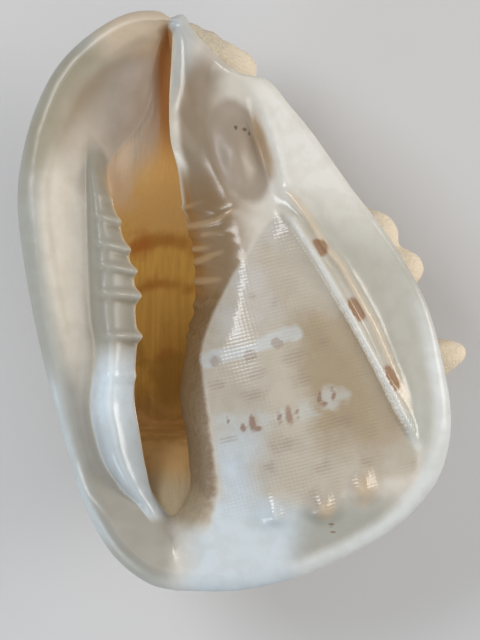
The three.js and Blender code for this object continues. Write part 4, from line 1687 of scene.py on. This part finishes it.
@dataclass(frozen=True)
class ShellFinish:
    """Porcelain glaze on the face, amber in the mouth with a painted glow, and a matt sandy back; some face
    and mouth layers are painted light and shade.
    """

    base: Display = (216, 208, 195)
    mottle: Display = (150, 134, 112)
    room: Display = (206, 170, 94)
    sand: Display = (228, 214, 189)
    sand_patch: Display = (176, 146, 108)
    sand_blot: Display = (150, 106, 70)
    worn_tip: Display = (255, 238, 212)
    blot_band: float = 31.0
    ior: float = 1.53
    face_roughness: float = 0.2
    back_roughness: float = 0.62
    duller: tuple[tuple[str, float], ...] = (
        ("strip", 0.25), ("navel", 0.14), ("lip_inner", 0.16), ("lip_top", 0.1), ("tip", 0.2),
        ("tooth_grey", 0.13), ("shield_bright", 0.12), ("lip_rim", 0.08),
    )
    # Strength of the painted glow: the mouth's amber gives off light of its own, standing in for light
    # shining through the thin shell.
    glow: float = 0.26
    weft: tuple[float, float] = (0.0015, 1.326)
    warp: tuple[float, float] = (0.0017, -0.245)
    layers: tuple[Layer, ...] = (
        Layer("lip_warm", (228, 218, 202), strength=0.7, grain=0.5, grain_size=0.03),
        Layer("lip_top", (152, 134, 108), strength=0.92, grain=0.5, grain_size=0.03),
        Layer("lip_inner", (202, 192, 180), strength=0.9, grain=0.3, grain_size=0.03),
        Layer("lip_rim", (176, 176, 168)),
        Layer("rim_olive", (158, 148, 124), strength=0.8, grain=0.4, grain_size=0.02),
        Layer("rim_pale", (204, 213, 216), strength=0.8, grain=0.3, grain_size=0.03),
        Layer("rim_peach", (216, 196, 170), strength=0.8, grain=0.3),
        # Painted shade on the lower lip beside the raised roll.
        Layer("lip_foot", (158, 154, 144), strength=0.85, grain=0.4, grain_size=0.03),
        Layer("rim_line", (176, 170, 150), strength=0.25, grain=0.5),
        # Painted shade on the upper part of the toothed ridge.
        Layer("tooth_grey", (157, 154, 143), strength=0.95),
        # Painted bluish light on the lower roll of the toothed ridge.
        Layer("roll_white", (222, 236, 246), strength=0.9),
        # Painted light of the roll, dimmer toward its lower end.
        Layer("roll_low", (188, 196, 200), strength=0.85),
        # Painted highlight on the crest of each tooth.
        Layer("tooth_light", (196, 193, 182), strength=0.5),
        # Painted shadow just below each tooth.
        Layer("tooth_shade", (134, 122, 98), strength=0.6),
        # Painted shade in the furrow at the foot of the toothed ridge.
        Layer("lip_furrow", (150, 142, 122), strength=0.4),
        Layer("edge_warm", (206, 176, 132), strength=0.6),
        Layer("shield", (190, 187, 176)),
        Layer("shield_top", (230, 227, 219)),
        Layer("shield_bright", (226, 229, 228)),
        Layer("upper_slope", (132, 112, 88), strength=0.88, grain=0.3, grain_size=0.02),
        Layer("slope", (138, 111, 79), strength=0.95, grain=0.3),
        Layer("slope_dark", (146, 106, 60), strength=0.9, grain=0.2),
        Layer("folds", (184, 156, 120), low=0.1, high=1.0, strength=0.6),
        Layer("strip", (122, 97, 66), strength=0.92, grain=0.4, grain_size=0.004),
        Layer("low_right", (150, 152, 144), strength=0.82, grain=0.3, grain_size=0.02),
        Layer("window", (192, 182, 166)),
        Layer("window_right", (166, 146, 116), strength=0.8, grain=0.5),
        Layer("window_low", (208, 220, 230), strength=0.85, grain=0.4),
        Layer("window_cloud", (202, 198, 194), strength=0.7, grain=0.6, grain_size=0.008),
        Layer(
            "purple", (146, 124, 116), low=0.05, high=0.95, strength=0.36, grain=0.9,
            grain_size=0.005, threaded=True,
        ),
        Layer("band_one", (206, 210, 212), low=0.05, high=0.6, strength=0.66, grain=0.7, grain_size=0.008),
        Layer("band_two", (200, 202, 198), low=0.05, high=0.75, strength=0.66, grain=0.8, grain_size=0.006),
        Layer("blotches", (158, 138, 124), low=0.15, high=0.55, strength=0.6, grain=0.5, grain_size=0.003),
        Layer("crescents", (140, 98, 74), low=0.12, high=0.6, strength=0.72, grain=0.24, grain_size=0.004),
        Layer("varix_dip", (198, 193, 180), strength=0.75, grain=0.3),
        Layer("white_ridge", (224, 222, 216), low=0.2),
        Layer("warm_ridge", (222, 204, 178), low=0.2, strength=0.7),
        Layer("bars", (158, 120, 86), low=0.2, high=0.44, strength=0.92, grain=0.12, grain_size=0.005),
        Layer("tan_valley", (194, 198, 190), low=0.15, strength=0.7),
        Layer("navel", (152, 134, 116), strength=0.85, grain=0.4, grain_size=0.01),
        # Ochre of the navel's right wall with painted shade.
        Layer("navel_warm", (184, 156, 122), strength=0.85, grain=0.3),
        Layer("navel_pits", (92, 74, 50), low=0.1, high=0.4, strength=0.8),
        Layer("mouth_foot", (164, 146, 118), low=0.05, high=0.7, strength=0.85, grain=0.3),
        Layer("knob_peach", (206, 184, 156), low=0.05, high=0.9, strength=0.75, grain=0.4, grain_size=0.006),
        # White callus with painted bluish sky light.
        Layer("callus", (208, 219, 226), strength=0.9, grain=0.3, grain_size=0.02),
        Layer("crest", (184, 190, 192), strength=0.95),
        Layer("crest_line", (206, 200, 186), strength=0.8),
        Layer("notch", (160, 124, 84), strength=0.7),
        Layer("pin_holes", (120, 84, 60), low=0.1, high=0.4, strength=0.7),
    )
    inner: tuple[Layer, ...] = (
        Layer("inside_low", (192, 160, 116), strength=0.85, grain=0.6),
        # Painted light in the upper mouth.
        Layer("amber_pale", (210, 178, 122), strength=0.85, grain=0.4, grain_size=0.03),
        Layer(
            "inside_mottle", (120, 88, 50), low=0.75, high=1.25, strength=0.36, grain=0.95,
            grain_size=0.011,
        ),
        # Painted shade deep in the mouth.
        Layer("inside_dark", (160, 128, 68), strength=0.75, grain=0.4),
        # Dark arcs in the mouth, partly painted shadow.
        Layer("inside_arch", (164, 112, 50), strength=0.7, grain=0.4),
        Layer("inside_red", (176, 108, 54), low=0.1, high=0.8, strength=0.6, grain=0.5),
        Layer("inside_floor", (190, 176, 148), strength=0.8),
        # Canal gutter: amber deepened by painted shade.
        Layer("gutter", (168, 122, 76), strength=0.9),
        Layer("inside_top", (178, 167, 155), strength=0.97),
        Layer("inside_pink", (208, 188, 164), strength=0.9, grain=0.3),
    )

    def make(self) -> bpy.types.Material:
        """Build the shell's material.

        Returns:
            The material.
        """
        glaze = bpy.data.materials.new("shell_finish")
        pad = Pad(glaze)
        outside, inside = pad.field("outside"), pad.field("inside")
        cloud, streaks = pad.noise(0.022, 4.0), pad.noise(0.0022, 4.0, (1.0, 0.06, 0.4))
        face = self.lay(pad, self.wash(pad, self.base, cloud, 0.05), self.layers)
        fine = pad.step(pad.noise(0.007, 5.0), 0.42, 0.62, 0.0, 0.1)
        face = pad.cover(face, self.mottle, fine)
        room = self.lay(pad, self.wash(pad, self.room, streaks, 0.16), self.inner)
        both = pad.cover(pad.cover(face, room, inside), self.back(pad, cloud), outside)
        shader, out = pad.add("ShaderNodeBsdfPrincipled"), pad.add("ShaderNodeOutputMaterial")
        pad.put(both, shader.inputs["Base Color"])
        # Painted glow: the mouth's amber colour is made to give off light, as a stand-in for light through
        # the thin shell.
        glow = pad.times(pad.step(inside, 0.3, 1.0), pad.step(pad.field("glowing"), 0.0, 1.0))
        pad.put(pad.cover((0, 0, 0), room, glow), shader.inputs["Emission Color"])
        shader.inputs["Emission Strength"].default_value = self.glow
        shader.inputs["IOR"].default_value = self.ior
        pad.put(self.roughness(pad, outside), shader.inputs["Roughness"])
        pad.put(self.relief(pad, outside, inside, streaks), shader.inputs["Normal"])
        pad.put(shader.outputs[0], out.inputs["Surface"])
        return glaze

    def back(self, pad: Pad, cloud: Socket) -> Socket:
        """Colour of the back: sand with patches, blots in bands, and pale worn tips.

        Args:
            pad: Where the nodes go.
            cloud: Slow noise that the ground wanders by.

        Returns:
            Socket of the colour.
        """
        sand = self.wash(pad, self.sand, cloud, 0.12)
        sand = pad.cover(sand, self.sand_patch, pad.step(pad.noise(0.016, 5.0), 0.52, 0.7, 0, 0.5))
        bands = pad.maths(Op.SINE, pad.times(pad.field("along"), 2 * math.pi / self.blot_band))
        blots = pad.times(pad.step(bands, 0.2, 0.9), pad.step(pad.noise(0.011, 3.0), 0.5, 0.62))
        sand = pad.cover(sand, self.sand_blot, pad.times(blots, 0.4))
        return pad.cover(sand, self.worn_tip, pad.times(pad.field("knob_tips"), 0.97))

    def roughness(self, pad: Pad, outside: Socket) -> Socket:
        """Roughness: glossy face with duller zones, matt back.

        Args:
            pad: Where the nodes go.
            outside: 1 on the back.

        Returns:
            Socket of the roughness.
        """
        rough = pad.step(outside, 0.0, 1.0, self.face_roughness, self.back_roughness)
        for name, more in self.duller:
            rough = pad.plus(rough, pad.times(pad.field(name), more))
        return pad.plus(rough, pad.times(pad.noise(0.006, 2.0), 0.06))

    def wash(self, pad: Pad, colour: Display, noise: Socket, depth: float) -> Socket:
        """A colour that wanders a little darker and lighter.

        Args:
            pad: Where the nodes go.
            colour: Middle colour.
            noise: What it wanders by.
            depth: How far it wanders.

        Returns:
            Socket of the colour.
        """
        node = pad.add("ShaderNodeMix")
        node.data_type = "RGBA"
        pad.put(noise, node.inputs[0])
        for socket, turned in ((node.inputs[6], -2 * depth), (node.inputs[7], 2 * depth)):
            socket.default_value = (*np.clip(paint(*colour) * (1 + turned), 0, 1), 1)
        return node.outputs[2]

    def lay(self, pad: Pad, colour: Socket, layers: tuple[Layer, ...]) -> Socket:
        """Lay every layer over a colour.

        Args:
            pad: Where the nodes go.
            colour: Colour under the layers.
            layers: The layers, the lowest first.

        Returns:
            Socket of the colour.
        """
        grains: dict[float, Socket] = {}
        for layer in layers:
            share = field_value = pad.field(layer.name)
            if layer.grain:
                if layer.grain_size not in grains:
                    grains[layer.grain_size] = pad.maths(Op.SUBTRACT, pad.noise(layer.grain_size), 0.5)
                wander = pad.times(grains[layer.grain_size], layer.grain * 2)
                share = pad.plus(share, pad.times(wander, pad.step(field_value, 0.0, 0.12)))
            if layer.threaded:
                share = pad.times(share, pad.step(pad.threads(*self.weft), 0.1, 0.6, 0.35, 1.1))
            share = pad.step(share, layer.low, layer.high, 0.0, layer.strength)
            colour = pad.cover(colour, layer.colour, share)
        return colour

    def relief(self, pad: Pad, outside: Socket, inside: Socket, streaks: Socket) -> Socket:
        """Fine relief of every zone.

        Args:
            pad: Where the nodes go.
            outside: 1 on the back.
            inside: 1 in the mouth.
            streaks: Streaks of the room's wall.

        Returns:
            Socket of the normal.
        """
        net = pad.plus(pad.threads(*self.weft), pad.times(pad.threads(*self.warp), 0.5))
        normal = pad.bump(pad.times(net, pad.field("window")), 0.00004, None)
        pits = pad.times(pad.noise(0.0022, 5.0), pad.field("strip"))
        normal = pad.bump(pits, 0.0009, normal)
        normal = pad.bump(pad.times(streaks, inside), 0.0004, normal)
        normal = pad.bump(pad.noise(0.02, 2.0), 0.0009, normal)
        return pad.bump(pad.times(pad.noise(0.0016, 6.0), outside), 0.0011, normal)


# ---- the piece and the studio ------------------------------------------------------------------


@dataclass
class HelmetShell:
    """The shell as one piece."""

    sizes: Proportions = Proportions()
    sculpture: GrowthSculpture = GrowthSculpture()
    finish: ShellFinish = ShellFinish()

    def build(self) -> bpy.types.Object:
        """Grow the skin and raise the sculpture of its back.

        Returns:
            The finished piece.
        """
        plan = MouthPlan(self.sizes)
        face = Face(self.sizes, plan, LipRelief(plan), ShieldRelief())
        face.grow(self.sizes.turns())
        skin = ShellSkin(self.sizes, CoiledBody(), face)
        skin.grow()
        piece = bpy.data.objects.new("shell_skin", skin.mesh("shell_skin"))
        bpy.context.scene.collection.objects.link(piece)
        fields = Markings(skin).lay()
        for name, values in fields.items():
            layer = piece.data.attributes.new(name, "FLOAT", "POINT")
            layer.data.foreach_set("value", values.astype(np.float32))
        self.sculpture.raise_on(piece, self.finish.make())
        return piece

    def dress(self, piece: bpy.types.Object) -> None:
        """Join the piece to the frame.

        Args:
            piece: The finished piece.
        """
        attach(piece, "root")
        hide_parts("shell")
        count = sum(len(p.vertices) - 2 for p in piece.data.polygons)
        log.info("%s: %d triangles", piece.name, count)


@dataclass(frozen=True)
class SoftBox:
    """One large soft light: where it stands, what it faces, its size, power and tint."""

    name: str
    stands: tuple[float, float, float]
    size: float
    power: float
    tint: tuple[float, float, float]


@dataclass
class Studio:
    """Pale floor, soft boxes and the camera straight above the shell."""

    camera_height: float = 1.124
    camera_place: tuple[float, float] = (-0.00133, -0.0078)
    lens: float = 135.4
    aimed_at: float = 0.1
    floor_half: float = 3.0
    floor_paint: Display = (214, 214, 216)
    fill: float = 0.26
    boxes: tuple[SoftBox, ...] = (
        SoftBox("window_light", (-0.62, 0.42, 1.35), 0.5, 7.5, (0.97, 0.985, 1.0)),
        SoftBox("top_light", (0.3, -0.2, 1.9), 1.2, 5.0, (1.0, 0.98, 0.95)),
        SoftBox("low_light", (-1.2, -1.0, 0.75), 0.7, 7.0, (0.86, 0.94, 1.0)),
        SoftBox("side_light", (1.3, 0.2, 0.7), 0.6, 9.0, (1.0, 0.95, 0.88)),
    )

    def build(self) -> None:
        """Make the floor, the lights, the world and the camera."""
        self.floor()
        for box in self.boxes:
            self.light(box)
        self.world()
        self.camera()

    def floor(self) -> None:
        """Make the plain pale floor."""
        mesh = bpy.data.meshes.new("floor")
        half = self.floor_half
        corners = [(-half, -half, 0), (half, -half, 0), (half, half, 0), (-half, half, 0)]
        mesh.from_pydata(corners, [], [(0, 1, 2, 3)])
        floor = bpy.data.objects.new("floor", mesh)
        bpy.context.scene.collection.objects.link(floor)
        material = bpy.data.materials.new("pale_floor")
        pad = Pad(material)
        shader, out = pad.add("ShaderNodeBsdfPrincipled"), pad.add("ShaderNodeOutputMaterial")
        shader.inputs["Base Color"].default_value = (*paint(*self.floor_paint), 1)
        shader.inputs["Roughness"].default_value = 0.8
        pad.put(shader.outputs[0], out.inputs["Surface"])
        mesh.materials.append(material)

    def light(self, box: SoftBox) -> None:
        """Make one soft box that faces the shell.

        Args:
            box: What it is like.
        """
        lamp = bpy.data.lights.new(box.name, "AREA")
        lamp.shape, lamp.size = "SQUARE", box.size
        lamp.energy, lamp.color = box.power, box.tint
        stand = bpy.data.objects.new(box.name, lamp)
        away = np.array(box.stands) - [0, 0, self.aimed_at]
        flat = math.hypot(away[0], away[1])
        stand.location = box.stands
        stand.rotation_euler = (math.atan2(flat, away[2]), 0, math.atan2(away[1], away[0]) + math.pi / 2)
        bpy.context.scene.collection.objects.link(stand)

    def world(self) -> None:
        """Set the even light all round."""
        world = bpy.data.worlds.new("studio")
        world.use_nodes = True
        backing = world.node_tree.nodes["Background"]
        backing.inputs[0].default_value = (0.96, 0.98, 1.0, 1)
        backing.inputs[1].default_value = self.fill
        bpy.context.scene.world = world

    def camera(self) -> None:
        """Set the camera straight above the mouth with the canal end at the top."""
        lens = bpy.data.cameras.new("camera")
        lens.lens, lens.sensor_width, lens.sensor_fit = self.lens, 36.0, "AUTO"
        camera = bpy.data.objects.new("camera", lens)
        camera.location = (*self.camera_place, self.camera_height)
        bpy.context.scene.collection.objects.link(camera)
        bpy.context.scene.camera = camera
        bpy.context.scene.view_settings.view_transform = "Standard"


def main() -> None:
    """Build the shell and the studio."""
    logging.basicConfig(level=logging.INFO, format="%(message)s")
    shell = HelmetShell()
    shell.dress(shell.build())
    Studio().build()


if __name__ == "__main__":
    main()
